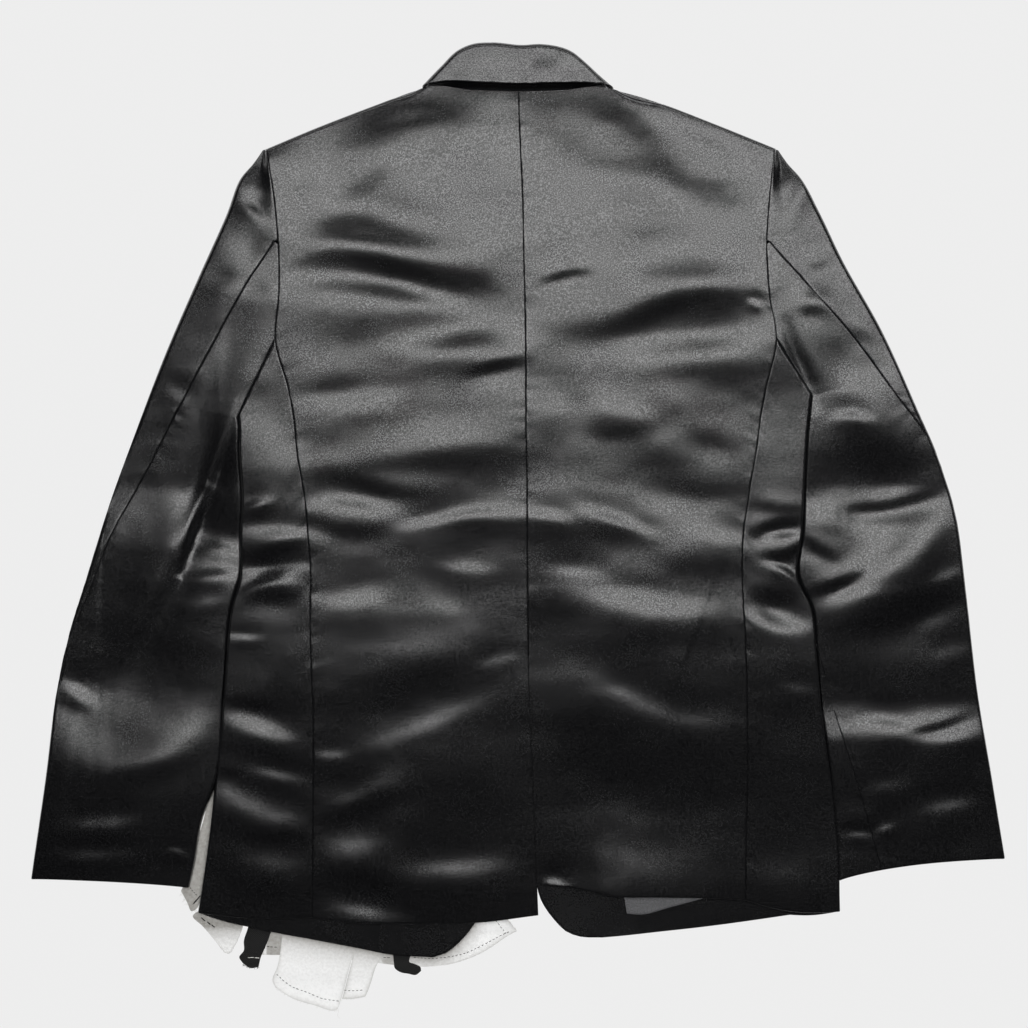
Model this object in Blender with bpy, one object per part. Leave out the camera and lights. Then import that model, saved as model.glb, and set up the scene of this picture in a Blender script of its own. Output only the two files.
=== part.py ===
# Tailored jacket in black satin, laid flat on its front with the back uppermost.
# The collar points along +Y and +X is the wearer's right. Tables are in millimetres.
import math

import bpy
import numpy as np
from mathutils import Vector
from mathutils.bvhtree import BVHTree

MM = 0.001

# Cloth and seams
WALL = 2.0          # satin shell and its lining pressed together
COLLAR_WALL = 1.6   # turned collar cloth
SINGLE = 1.0        # one layer of cotton or satin: patches, tabs and facings
SEAM_GAP = 0.4      # between two sewn pieces
LAYER_GAP = 0.35    # between a piece and what it lies on

# Lie of the body and the sleeves
FOLD_MIDDLE = 0.5       # height of a side fold's outermost line, as a share of the cloth's rise
FOLD_REACH = 1.5        # how far in a fold is round, as a share of its height
PILLOW_REACH = 90.0     # how far in the body goes on rising
UNDER_REACH = 20.0      # how far in the underside leaves the floor
SHOULDER_SLOPE = 0.93   # cosine of the shoulder line's fall
SLEEVE_PILLOW = 60.0
SLEEVE_UNDER_REACH = 14.0
FOLD_RATE = 7.0         # a sleeve fold's height for each radian of turn
SLEEVE_CLEAR = 1.2      # between a sleeve's inner edge and the body's side fold
ARMHOLE_EASE = 0.9      # share of a sleeve's half width over which it comes to the armhole's height

# Levels of the body
ARMHOLE_FOOT = 166.0    # where the side seams leave the armholes
VENT_TOP = -112.0
VENT_UNDERLAP = 35.0
VENT_DROP = 2.7         # the right vent edge lies this much under the left one
LOW_LAYER = SINGLE + LAYER_GAP  # height of what lies on the white hem band
HEM_LIFT = LOW_LAYER + SINGLE + LAYER_GAP  # height of the left front on its patches

# Colours: linear base colour, roughness
SATIN = ("black_satin", (0.012, 0.012, 0.013), 0.42)
SATIN_INSIDE = ("black_facing", (0.010, 0.010, 0.011), 0.5)
GREY_SATIN = ("grey_satin", (0.045, 0.045, 0.047), 0.5)
WHITE_COTTON = ("white_cotton", (0.72, 0.71, 0.68), 0.85)
BLACK_TAPE = ("black_tape", (0.012, 0.012, 0.012), 0.8)
HORN = ("black_horn", (0.015, 0.014, 0.013), 0.3)

# Body: one row for each level, from the neck to the hem. "left" and "right" are the
# panel's edges (armhole, then side seam); the folds are the round side edges.
BODY_COLUMNS = ("y", "centre", "left", "left_fold", "right", "right_fold", "rise")
BODY = (
    (-400, 20, -181, -292, 200, 290, 7.5),
    (-345, 18, -181, -283, 200, 284.5, 9),
    (-282, 15.5, -180.5, -273.5, 201, 282.5, 11.5),
    (-226, 13.5, -180, -267, 202, 277, 13),
    (-166, 11, -180, -261, 201.5, 268.5, 14),
    (-109, 9, -182, -257, 200, 263, 14.5),
    (-68, 8.6, -182.5, -252, 198, 258, 15),
    (-46, 8.5, -182, -245.5, 197, 247.5, 15),
    (-5, 8, -184.5, -245, 198, 250.5, 15.5),
    (25, 8, -187, -243.5, 202, 252, 16),
    (67, 7.5, -194, -246, 209, 254, 17),
    (97, 7, -197, -247, 213, 256.5, 17.5),
    (122, 7, -201.5, -258, 217.5, 260.5, 18),
    (166, 6.5, -213, -282, 226.5, 290, 19),
    (201, 6, -210, -308, 221, 314, 19.5),
    (242, 5, -210, -335, 218, 340, 20),
    (290, 4, -214, -370, 220.5, 375, 21),
    (333, 2, -220.5, -400, 225, 405, 21),
    (400, 0, -225, -460, 229, 460, 18.5),
)

# Round edge of the shoulders, and where its roundness fades over the neck
SHOULDER_COLUMNS = ("x", "y")
SHOULDER = (
    (-420, 260), (-300, 300), (-221, 333), (-181, 350), (-148, 363), (-114, 376), (-84, 387.5),
    (-60, 408), (0, 430), (60, 408), (86, 386), (132, 371), (168, 357), (225, 334),
    (300, 304), (420, 260),
)

# Rows of the armhole, measured down from the shoulder tip to its foot
ARMHOLE_STEPS = (0, 2, 6, 13, 28, 53, 83, 113, 141, 167)
SIDE_ROWS = 16
HEM_CROWD = 1.25     # draws the fronts' rows together at their rounded corners
VENT_ROWS = 8

SHOULDER_TIP = {"left": (-220.5, 333.0), "right": (225.0, 333.0)}
UNDERARM_Y = {"left": 97.0, "right": 116.0}
SIDE_HEM = {"left": -339.0, "right": -338.0}
NECK_SEAM = ((-84, 386), (-76, 387.4), (-40, 383.5), (0, 382), (40, 383.5), (69, 387), (86, 384.5))

# Hems: the back's, and the underside's with its cutaway corners
BACK_HEM_LEFT = ((-181, -343), (-158, -346.5), (-124, -348), (-91, -348), (-37, -347.5), (18, -341))
BACK_HEM_RIGHT = ((-18, -312), (18, -312), (52, -318), (85, -324), (123, -325), (164, -326), (200, -328))
FRONT_SEAM_COLUMNS = ("y", "left", "right")
FRONT_SEAM = (
    (-400, -242, 243), (-343, -238, 240), (-180, -225, 225), (-60, -212, 212),
    (30, -205, 208), (100, -206, 214), (166, -213, 226.5),
)
FRONT_SEAM_HEM = {"left": -351.5, "right": -341.5}
SIDE_HEM_DROP = {"left": 3.0, "right": 5.0}
FRONT_HEM = {
    "left": ((-238, -351.5), (-218, -356), (-180, -363), (-143, -370), (-113, -376), (-75, -378.5)),
    "right": ((240, -341.5), (209, -346), (164, -352), (119, -357), (92, -360), (74, -361.5)),
}
FRONT_EDGE = {
    "left": ((-84, 386), (-44, 230), (-3, 80), (14, 40), (15, -60), (9, -150), (-6, -250), (-22, -312),
             (-37, -347), (-53, -366.5), (-63, -374.5), (-75, -378.5)),
    "right": ((86, 384.5), (52, 230), (17, 80), (0, 40), (-1, -60), (2, -150), (8, -250), (14, -300),
              (21, -330), (33, -347), (43, -356.5), (54, -360.5), (74, -361.5)),
}

# Sleeves: one row for each station from the shoulder tip to the cuff. "inner" points lie on
# the armhole, then beside the body's fold; "grip" is how far round the sleeve is closed.
SLEEVE_COLUMNS = ("station", "outer_x", "outer_y", "rise", "outer_middle")
SLEEVE = {
    "left": (
        (0.00, -224.5, 332, 12, 10), (0.06, -233, 320, 17, 9.5), (0.12, -244, 307, 20, 9),
        (0.22, -257, 274, 20, 8), (0.33, -281, 221, 19, 7), (0.44, -311, 152, 17.5, 6.5),
        (0.55, -340, 76, 16, 6), (0.64, -361, 18, 15, 5.5), (0.72, -381, -46, 14, 5),
        (0.79, -398, -102, 13.5, 5), (0.84, -407, -146, 13, 5), (0.92, -416.5, -222, 11, 4.5),
        (1.00, -429.4, -309.5, 9, 4),
    ),
    "right": (
        (0.00, 229, 332, 12, 10), (0.06, 237.5, 320, 17, 9.5), (0.12, 249, 307, 20, 9),
        (0.22, 266, 276, 20, 8), (0.33, 288, 231, 19, 7), (0.44, 320.6, 173, 17.5, 6.5),
        (0.55, 351, 106, 16, 6), (0.64, 372.6, 55, 15, 5.5), (0.70, 386, 10, 14.5, 5),
        (0.77, 395, -58, 14, 5), (0.85, 405, -144, 13, 5), (0.93, 418, -222, 11, 4.5),
        (1.00, 429.4, -291.5, 9, 4),
    ),
}
HEAD_STATION = 0.40     # station of the armhole's foot
UNDERARM_STATION = 0.50  # station of the underarm point
ARM_ROWS = 12
HEAD_GRIP = (0.3, 0.8)  # how far round the sleeve head is closed, at the tip and at the foot
INNER_MIDDLE = 3.0      # height of a sleeve's inner fold beside the body

# The sleeves' inner edges leave the body towards the cuffs
SLEEVE_AWAY_COLUMNS = ("y", "left", "right")
SLEEVE_AWAY = (
    (-330, 11, 1.4), (-317, 11, 1.4), (-296, 9.6, 1.4), (-256, 7.5, 1.4), (-224, 1.4, 1.4),
    (-150, 1.2, 1.2), (97, 1.2, 1.2), (120, 1.2, 1.2),
)
CUFF_INNER_Y = {"left": -317.0, "right": -311.0}
CUFF_BOW = {"left": 2.0, "right": 6.0}   # how far the cuff's middle lies back from a straight line
CUFF_REACH = 40.0

# Sleeve seams seen from above, and where they go once they are underneath
BACK_SEAM = {
    "left": ((-213, 252), (-234, 221), (-263, 171), (-301, 101), (-331, 44), (-357, -2), (-381, -63),
             (-401, -106)),
    "right": ((219, 252), (253, 215), (291, 172), (333, 116), (363, 76), (376, 50)),
}
BACK_SEAM_END = {"left": 1.06, "right": 1.12}
FRONT_SEAM_TURN = {"left": (-0.12, -0.12), "right": (0.0, 0.25)}
FRONT_SEAM_RISES = {"left": -400.0, "right": -95.0}

# Largest folds of the upper side. Each row: middle, length, direction, half width, height
FOLD_COLUMNS = ("x", "y", "length", "turn", "width", "height")
FOLDS = {
    "body": (
        (-120, 272, 210, -28, 26, -3.6),
        (-95, 246, 250, -4, 17, 3.2),
        (-105, 216, 230, -4, 15, -2.6),
        (-70, 176, 230, 8, 18, -3.0),
        (-60, 152, 170, 4, 16, 3.0),
        (-50, 82, 220, 6, 20, 3.4),
        (-110, 46, 210, 2, 18, -3.0),
        (30, 8, 260, 0, 20, 3.6),
        (-85, -118, 200, 22, 22, 3.0),
        (-90, -152, 190, 20, 20, -2.4),
        (115, 300, 260, -24, 30, -4.2),
        (150, 215, 190, -6, 24, 3.6),
        (140, 166, 200, 4, 20, -3.2),
        (150, 150, 190, 2, 17, 2.8),
        (140, 40, 190, -4, 20, -3.2),
        (140, -45, 200, -6, 22, 3.2),
        (90, -140, 170, -16, 26, -3.4),
        (-230, 20, 60, 30, 11, 2.6),
        (-232, -34, 60, -6, 11, -2.6),
        (232, -30, 60, -24, 12, 2.8),
        (228, -66, 70, 8, 11, -2.4),
    ),
    "left": (
        (-240, 250, 60, -6, 14, -2.6),
        (-240, 222, 70, 4, 12, 2.6),
        (-276, 55, 150, 69, 11, -4.2),
        (-272, -35, 60, 4, 12, 2.4),
        (-345, -190, 130, -6, 26, -3.0),
        (-350, -165, 120, -12, 18, 2.8),
    ),
    "right": (
        (272, 244, 70, -8, 13, -2.8),
        (262, 192, 80, 6, 14, 2.6),
        (300, 142, 90, -12, 18, -3.0),
        (315, 22, 130, 34, 20, -3.6),
        (330, -28, 130, 28, 17, 3.6),
        (330, -80, 150, 6, 24, -2.8),
    ),
}

# What lies under the fronts lifts them: extents, and the lift of each front
LIFT_COLUMNS = ("x0", "x1", "y0", "y1", "left", "right")
LIFT_RAMP = 60.0
LIFTS = {
    "lapels": (-145, 145, 70, 400, 2.0, 2.0),
    "buttons": (-12, 26, -75, 60, 2.95, 0.0),
    "flap left": (-300, -115, -180, -110, 1.6, 0.0),
    "flap right": (115, 300, -180, -110, 0.0, 1.6),
    "hem patches": (-340, 60, -480, -318, HEM_LIFT, 0.0),
}

OVERLAP = (-20, 30, -235, 110)  # x0, x1, y0, y1 of the fronts' closing

# Lapels and collar ends under the fronts, as outlines
LAPEL = {
    "left": ((-78, 350), (-112, 318), (-128, 300), (-118, 240), (-88, 160), (-42, 102), (-8, 86), (-47, 230)),
    "right": ((81, 350), (115, 318), (131, 300), (121, 240), (93, 160), (52, 102), (22, 86), (55, 230)),
}
COLLAR_END = {
    "left": ((-88, 378), (-128, 356), (-132, 326), (-114, 322), (-81, 355)),
    "right": ((91, 376), (131, 354), (135, 326), (117, 322), (84, 355)),
}

# Collar: its roll edge at the top, and the fall's free edge above the neck seam
COLLAR_ROLL = ((-84, 388.5), (-68, 405), (-52, 420), (-40, 425), (-23, 426.4), (4, 424.2), (20, 425), (48, 418),
               (57, 413), (84, 387.5))
COLLAR_FREE_EDGE = ((-80, 388.8), (-64, 391.6), (-30, 391.4), (0, 391), (63, 390.2), (80, 388.2))
COLLAR_RISE = 21.5
COLLAR_MIDDLE = 12.0
COLLAR_REACH = 12.0
STAND_DIP = 3.0
STAND_RISE = 7.0
COLLAR_DEPTH = 42.0

# Pocket flaps: their tips reach past the body's folds, over the sleeves
FLAP_INNER_X = 120.0
FLAP_COLUMNS = ("tip top", "tip foot", "inner top", "inner foot")
FLAP = {
    "left": ((-259.2, -107), (-268.5, -149), -119.0, -172.0),
    "right": ((271.5, -131), (279.5, -160), -123.0, -176.0),
}
FLAP_CLEAR = 1.2    # between a flap's tip and the sleeve under it

BUTTON_PLACES = {"button_upper": (7.0, 42.0), "button_lower": (7.0, -58.0)}
BUTTON_RADIUS = 10.0
BUTTON_THICKNESS = 2.6
BUTTON_RIM = 0.7

# Facings: their inner edges, from the hem up
FACING = {
    "left": ((-124, -373.5), (-118, -330), (-108, -285)),
    "right": ((107, -358), (104, -330), (100, -285)),
}
FACING_TOP = {"left": (-17, -285), "right": (15, -285)}
FACING_INSET = 1.6

# Inner patch on the right front: left, right, lower and upper edge
INNER_PATCH = ((94, -300), (94, -327), (96, -340), (106, -341), (136, -334), (166, -326), (166, -300))

# White and black pieces stitched to the left front, as left and right edges from the top
# down, and how far down each is still carried by the band: x, y pairs
STRIPS = {
    "patch_wide": (((-206, -335), (-208, -358), (-209.5, -372), (-212, -386), (-216.5, -401), (-214, -406)),
                   ((-141, -335), (-144, -370), (-146.5, -380), (-150, -393), (-153.5, -407), (-156, -416))),
    "patch_narrow": (((-140.4, -335), (-143.4, -370), (-145.9, -380), (-149.4, -393), (-152.9, -407),
                      (-155.4, -416)),
                     ((-120, -335), (-121, -378), (-126, -389), (-130, -402), (-133, -410), (-135, -414))),
    "tab_black_left": (((-239, -330), (-238, -351), (-242, -365), (-242, -373), (-246, -379), (-243, -384)),
                       ((-217, -330), (-218, -356), (-221, -365), (-224, -372), (-227, -379), (-229, -387.5))),
    "tab_black_right": (((-110, -350), (-110, -377), (-109.5, -384), (-109, -388), (-104, -392), (-97, -393.5)),
                        ((-94, -350), (-95, -378), (-96, -383), (-91, -385), (-86, -388), (-85.5, -391))),
    "tab_round": (((-262, -324), (-278, -336), (-287, -342.5), (-279, -351), (-268, -364), (-259.5, -375)),
                  ((-246, -324), (-244, -334), (-243, -342), (-243, -352), (-246, -361), (-253, -374.5))),
    "side_strip": (((-268, -215), (-271.5, -231), (-279, -262), (-288, -290), (-294, -312), (-297.5, -320.5)),
                   ((-258, -215), (-260.5, -231), (-264.5, -262), (-268.5, -290), (-273, -310), (-281, -330))),
}
STRIP_END = {
    "patch_wide": ((-214, -406), (-201, -414.5), (-180, -421.5), (-160, -425.2), (-156, -416)),
    "patch_narrow": ((-155.4, -416), (-143, -415.5), (-135, -414)),
    "tab_black_left": ((-243, -384), (-236, -388.5), (-229, -387.5)),
    "tab_black_right": ((-97, -393.5), (-90, -394.5), (-85.5, -391)),
    "tab_round": ((-259.5, -375), (-256, -376), (-253, -374.5)),
    "side_strip": ((-297.5, -320.5), (-292, -331), (-288, -338.5), (-283.5, -336), (-281, -330)),
}
# Levels beyond which a patch or tab comes down from the front's height to the floor
DROOP_FROM = {
    "patch_wide": -390.0, "patch_narrow": -390.0, "tab_black_left": -390.0, "tab_black_right": -390.0,
    "tab_round": -344.0,
}
DROOP_LENGTH = 16.0

BAND_INNER = ((-224, -338), (-180, -344), (-140, -351), (-100, -356), (-70, -354), (-48, -340), (-30, -330))
BAND_OUTER = ((-226, -377), (-180, -378), (-140, -382), (-108, -386), (-84, -387.5), (-59, -385), (-40, -379),
              (-23, -370), (-11, -361.5), (-1, -356))
BAND_RIGHT_END = ((-30, -330), (-9, -346), (-1, -356))


def smooth(xs, ys, at):
    # Cubic through the points, with each slope taken from the neighbouring points
    xs, ys, at = np.asarray(xs, float), np.asarray(ys, float), np.asarray(at, float)
    slope = np.gradient(ys, xs)
    i = np.clip(np.searchsorted(xs, at) - 1, 0, len(xs) - 2)
    span = xs[i + 1] - xs[i]
    t = np.clip((at - xs[i]) / span, 0.0, 1.0)
    start = (2 * t**3 - 3 * t**2 + 1) * ys[i] + (t**3 - 2 * t**2 + t) * span * slope[i]
    stop = (3 * t**2 - 2 * t**3) * ys[i + 1] + (t**3 - t**2) * span * slope[i + 1]
    return start + stop


def read(columns, rows, name, at):
    # A named column of a table, read at positions along its first column
    data = np.array(rows, float)
    return smooth(data[:, 0], data[:, columns.index(name)], at)


def curve(points, steps):
    # Points along a smooth curve, at shares of its length
    p = np.array(points, float)
    along = np.concatenate(([0.0], np.cumsum(np.linalg.norm(np.diff(p, axis=0), axis=1))))
    at = np.asarray(steps) * along[-1]
    return np.stack([smooth(along, p[:, 0], at), smooth(along, p[:, 1], at)], axis=-1)


def shares(line):
    # How far each point of a line is along it, from 0 to 1
    along = np.concatenate(([0.0], np.cumsum(np.linalg.norm(np.diff(line, axis=0), axis=1))))
    return along / along[-1]


def patch(top, bottom, left, right):
    # Coons patch: a grid of plan points that fills four edge lines
    u = np.linspace(0, 1, len(top))[None, :, None]
    v = (1 - u) * shares(left)[:, None, None] + u * shares(right)[:, None, None]
    ruled = (1 - u) * left[:, None] + u * right[:, None] + (1 - v) * top[None] + v * bottom[None]
    corners = (1 - u) * (1 - v) * top[0] + u * (1 - v) * top[-1] + (1 - u) * v * bottom[0] + u * v * bottom[-1]
    return ruled - corners


def quarter(t):
    # Height of a quarter circle of radius 1, at t from its foot
    return np.sqrt(1 - (1 - np.clip(t, 0, 1)) ** 2)


def ease(t):
    # Smooth step from 0 to 1
    t = np.clip(t, 0, 1)
    return t * t * (3 - 2 * t)


def folds(place, x, y):
    # Sum of soft ridges and troughs, each a bell across its line that fades at its ends
    total = np.zeros_like(x)
    for cx, cy, length, turn, width, height in FOLDS[place]:
        a = math.radians(turn)
        along = ((x - cx) * math.cos(a) + (y - cy) * math.sin(a)) / (length / 2)
        across = ((y - cy) * math.cos(a) - (x - cx) * math.sin(a)) / width
        total = total + height * np.exp(-across**2) * (1 - np.clip(along**2, 0, 1)) ** 2
    return total


def within(box, x, y):
    # 1 inside a box of x0, x1, y0, y1, easing to 0 over the ramp around it
    across = ease((x - box[0]) / LIFT_RAMP + 1) * ease((box[1] - x) / LIFT_RAMP + 1)
    return across * ease((y - box[2]) / LIFT_RAMP + 1) * ease((box[3] - y) / LIFT_RAMP + 1)


def lift(side, x, y):
    # How far the pieces under a front hold it off the floor. The right front also lies on
    # the left one where they overlap.
    pick = LIFT_COLUMNS.index(side)
    held = np.max([row[pick] * within(row, x, y) for row in LIFTS.values()], axis=0)
    if side == "right":
        held = np.maximum(held, (lift("left", x, y) + WALL + LAYER_GAP) * within(OVERLAP, x, y))
    return held


def body_point(x, y, face, inset=0.0, side=None):
    # A point of the body's cloth over the plan point (x, y). The outer face is a low pillow
    # with round folds at its sides and shoulders; an inset gives the face inside it.
    rise = read(BODY_COLUMNS, BODY, "rise", y)
    middle = FOLD_MIDDLE * rise
    left = x - read(BODY_COLUMNS, BODY, "left_fold", y)
    right = read(BODY_COLUMNS, BODY, "right_fold", y) - x
    from_side = np.clip(np.minimum(left, right), 0, None)
    from_shoulder = np.clip((read(SHOULDER_COLUMNS, SHOULDER, "y", x) - y) * SHOULDER_SLOPE, 0, None)
    reach = FOLD_REACH * (rise - middle)
    side_share = np.clip(from_side / reach, 0, 1)
    shoulder_share = np.clip(from_shoulder / reach, 0, 1)
    side_in = from_side - inset * side_share
    shoulder_in = from_shoulder - inset * shoulder_share
    new_x = x + inset * (1 - side_share) * np.where(left < right, 1, -1)
    new_y = y - inset * (1 - shoulder_share)
    if face == "top":
        pillow = 0.7 * quarter(side_in / (reach - inset)) + 0.3 * quarter(side_in / PILLOW_REACH)
        shoulder = 0.8 * quarter(shoulder_in / (reach - inset)) + 0.2 * quarter(shoulder_in / PILLOW_REACH)
        full = pillow * shoulder
        z = middle + SEAM_GAP / 2 + (rise - inset - middle + folds("body", x, y)) * full
    else:
        full = quarter(side_in / UNDER_REACH) * quarter(shoulder_in / UNDER_REACH)
        z = (middle - SEAM_GAP / 2) * (1 - full) + (inset + lift(side, x, y)) * full
    return np.stack([new_x, new_y, z], axis=-1)


def wall(name, outer, inner, finish):
    # A closed wall between an outer and an inner grid of points, in millimetres
    rows, columns = outer.shape[:2]
    count = rows * columns
    points = np.concatenate([outer.reshape(-1, 3), inner.reshape(-1, 3)]) * MM
    at = np.arange(count).reshape(rows, columns)
    a, b, c, d = at[:-1, :-1], at[:-1, 1:], at[1:, 1:], at[1:, :-1]
    quads = np.stack([a, d, c, b], axis=-1).reshape(-1, 4)
    faces = [quads, quads[:, ::-1] + count]
    faces = np.concatenate(faces)
    faces = np.concatenate([faces[:, [0, 1, 2]], faces[:, [0, 2, 3]]])
    border = np.concatenate([at[0, :-1], at[:-1, -1], at[-1, :0:-1], at[:0:-1, 0]])
    following = np.roll(border, -1)
    far = np.maximum(border, following) + count
    first = np.stack([border, following, far], axis=-1)
    second = np.where((border < following)[:, None], np.stack([border, far, border + count], axis=-1),
                      np.stack([following, following + count, far], axis=-1))
    return add_mesh(name, points, np.concatenate([faces, first, second]), finish)


def outward(name, points, faces):
    # Turns all faces round if the closed mesh has a negative volume
    p, q, r = points[faces[:, 0]], points[faces[:, 1]], points[faces[:, 2]]
    return faces if np.sum(p * np.cross(q, r)) > 0 else faces[:, ::-1]


def add_mesh(name, points, faces, finish):
    faces = outward(name, points, faces)
    mesh = bpy.data.meshes.new(name)
    mesh.from_pydata(points.tolist(), [], faces.tolist())
    mesh.shade_smooth()
    mesh.set_sharp_from_angle(angle=math.radians(50))
    mesh.materials.append(finish_material(name, finish))
    piece = bpy.data.objects.new(name, mesh)
    bpy.context.scene.collection.objects.link(piece)
    return piece


def finish_material(name, finish):
    material = bpy.data.materials.new(f"{finish[0]}_{name}")
    material.use_nodes = True
    shader = material.node_tree.nodes["Principled BSDF"]
    shader.inputs["Base Color"].default_value = (*finish[1], 1)
    shader.inputs["Roughness"].default_value = finish[2]
    shader.inputs["Metallic"].default_value = 0.0
    return material


def slab(name, outline, bottom, thickness, finish):
    # A flat piece cut to an outline, lying level; its outline runs as given
    ring = np.array(outline, float)
    count = len(ring)
    low = np.column_stack([ring, np.full(count, bottom)])
    high = np.column_stack([ring, np.full(count, bottom + thickness)])
    points = np.concatenate([low, high]) * MM
    sides = [(i, (i + 1) % count, (i + 1) % count + count, i + count) for i in range(count)]
    mesh = bpy.data.meshes.new(name)
    x, y = ring[:, 0], ring[:, 1]
    clockwise = np.sum(x * np.roll(y, -1) - np.roll(x, -1) * y) < 0
    faces = [tuple(range(count))[::-1], tuple(range(count, 2 * count))] + sides
    if clockwise:
        faces = [face[::-1] for face in faces]
    mesh.from_pydata(points.tolist(), [], faces)
    mesh.materials.append(finish_material(name, finish))
    piece = bpy.data.objects.new(name, mesh)
    bpy.context.scene.collection.objects.link(piece)
    return piece


def body_rows(side):
    # Levels of the panel's outer edge: down the armhole, then down the side seam
    hem = BACK_HEM_LEFT[0][1] if side == "left" else BACK_HEM_RIGHT[-1][1]
    tip = SHOULDER_TIP[side][1]
    head = tip - np.array(ARMHOLE_STEPS, float)
    return np.concatenate([head, np.linspace(ARMHOLE_FOOT, hem, SIDE_ROWS + 1)[1:]])


def panel_edge(side, gap):
    y = body_rows(side)
    x = read(BODY_COLUMNS, BODY, side, y) + (gap if side == "left" else -gap)
    return np.stack([x, y], axis=-1)


def centre_edge(gap, hem_y):
    # Levels of the centre seam and the vent, matched in number to the outer edge
    count = len(ARMHOLE_STEPS) + SIDE_ROWS
    top = 382.0 - np.array(ARMHOLE_STEPS, float) * 0.94
    seam = np.linspace(top[-1], VENT_TOP, count - len(top) - VENT_ROWS + 1)[1:]
    vent = np.linspace(VENT_TOP, hem_y, VENT_ROWS + 1)[1:]
    y = np.concatenate([top, seam, vent])
    return np.stack([read(BODY_COLUMNS, BODY, "centre", y) + gap, y], axis=-1)


def body_wall(name, plan, face, finish, side=None, inset=0.0, thickness=WALL, change=None):
    x, y = plan[..., 0], plan[..., 1]
    outer = body_point(x, y, face, inset, side)
    inner = body_point(x, y, face, inset + thickness, side)
    if change is not None:
        outer[..., 2] += change
        inner[..., 2] += change
    return wall(name, outer, inner, finish)


def make_backs():
    half = SEAM_GAP / 2
    steps = np.linspace(0, 1, 10)
    neck_left = [p for p in NECK_SEAM if p[0] <= 0]
    neck_right = [p for p in NECK_SEAM if p[0] >= 0]
    left, centre = panel_edge("left", half), centre_edge(-half, BACK_HEM_LEFT[-1][1])
    shoulder = [p for p in SHOULDER if SHOULDER_TIP["left"][0] <= p[0] <= neck_left[0][0]]
    top = curve([tuple(left[0])] + shoulder[1:-1] + neck_left[:-1] + [tuple(centre[0])], steps)
    bottom = curve([tuple(left[-1])] + list(BACK_HEM_LEFT[1:-1]) + [tuple(centre[-1])], steps)
    body_wall("back_left", patch(top, bottom, left, centre), "top", SATIN)

    right, centre = panel_edge("right", half), centre_edge(half, BACK_HEM_RIGHT[1][1])
    under = ease((VENT_TOP - centre[:, 1]) / VENT_UNDERLAP)
    centre[:, 0] -= VENT_UNDERLAP * under
    shoulder = [p for p in SHOULDER if neck_right[-1][0] <= p[0] <= SHOULDER_TIP["right"][0]]
    top = curve([tuple(centre[0])] + neck_right[1:] + shoulder[1:-1] + [tuple(right[0])], steps)
    bottom = curve([tuple(centre[-1])] + list(BACK_HEM_RIGHT[2:-1]) + [tuple(right[-1])], steps)
    plan = patch(top, bottom, centre, right)
    x, y = plan[..., 0], plan[..., 1]
    beside = x - read(BODY_COLUMNS, BODY, "centre", y)
    drop = VENT_DROP * ease((-50 - y) / 55) * (1 - ease((beside - 4) / 60))
    hem_bow = 4.5 * ease((-250 - y) / 75) * np.exp(-(((x - 95) / 70) ** 2)) * ease((beside - 4) / 60)
    body_wall("back_right", plan, "top", SATIN, change=hem_bow - drop)


def front_seam_levels(side):
    share = 1 - (1 - np.linspace(0, 1, SIDE_ROWS + 1)) ** HEM_CROWD
    return ARMHOLE_FOOT + (FRONT_SEAM_HEM[side] - ARMHOLE_FOOT) * share


def make_side(side):
    # From the back seam over the fold's round edge to the seam underneath
    sign = -1 if side == "left" else 1
    rows = SIDE_ROWS + 1
    quarter_turn = np.linspace(0, math.pi / 2, 6)
    out = np.concatenate([np.sin(quarter_turn), np.sin(quarter_turn)[-2::-1]])
    on_top = np.arange(len(out)) < len(quarter_turn)
    seam_y = body_rows(side)[-rows:]
    under_y = front_seam_levels(side)
    edge_y = np.linspace(UNDERARM_Y[side], SIDE_HEM[side], rows)
    edge_x = read(BODY_COLUMNS, BODY, side + "_fold", edge_y)
    seam_x = read(BODY_COLUMNS, BODY, side, seam_y) + sign * SEAM_GAP / 2
    under_x = read(FRONT_SEAM_COLUMNS, FRONT_SEAM, side, under_y) + sign * SEAM_GAP / 2
    from_x = np.where(on_top, seam_x[:, None], under_x[:, None])
    from_y = np.where(on_top, seam_y[:, None], under_y[:, None])
    x = from_x + (edge_x[:, None] - from_x) * out
    y = from_y + (edge_y[:, None] - from_y) * out
    y[-1] -= SIDE_HEM_DROP[side] * np.sin(math.pi * out) * np.where(on_top, 1.0, 0.4)
    grids = []
    for inset in (0.0, WALL):
        top = body_point(x, y, "top", inset)
        under = body_point(x, y, "under", inset, side)
        grid = np.where(on_top[None, :, None], top, under)
        turn = len(quarter_turn) - 1
        grid[:, turn] = (top[:, turn] + under[:, turn]) / 2
        grids.append(grid)
    wall("side_" + side, grids[0], grids[1], SATIN)


def front_plan(side):
    half = SEAM_GAP / 2 * (1 if side == "left" else -1)
    armhole = panel_edge(side, abs(half))[: len(ARMHOLE_STEPS)]
    y = front_seam_levels(side)[1:]
    seam = np.stack([read(FRONT_SEAM_COLUMNS, FRONT_SEAM, side, y) + half, y], axis=-1)
    outer = np.concatenate([armhole, seam])
    edge = curve(FRONT_EDGE[side], shares(outer))
    neck = FRONT_EDGE[side][0][0]
    if side == "left":
        line = [p for p in SHOULDER if outer[0, 0] < p[0] < neck]
    else:
        line = [p for p in SHOULDER if neck < p[0] < outer[0, 0]][::-1]
    steps = np.linspace(0, 1, 9)
    top = curve([tuple(outer[0])] + line + [FRONT_EDGE[side][0]], steps)
    bottom = curve([tuple(outer[-1])] + list(FRONT_HEM[side][1:]), steps)
    return patch(top, bottom, outer, edge)


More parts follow.
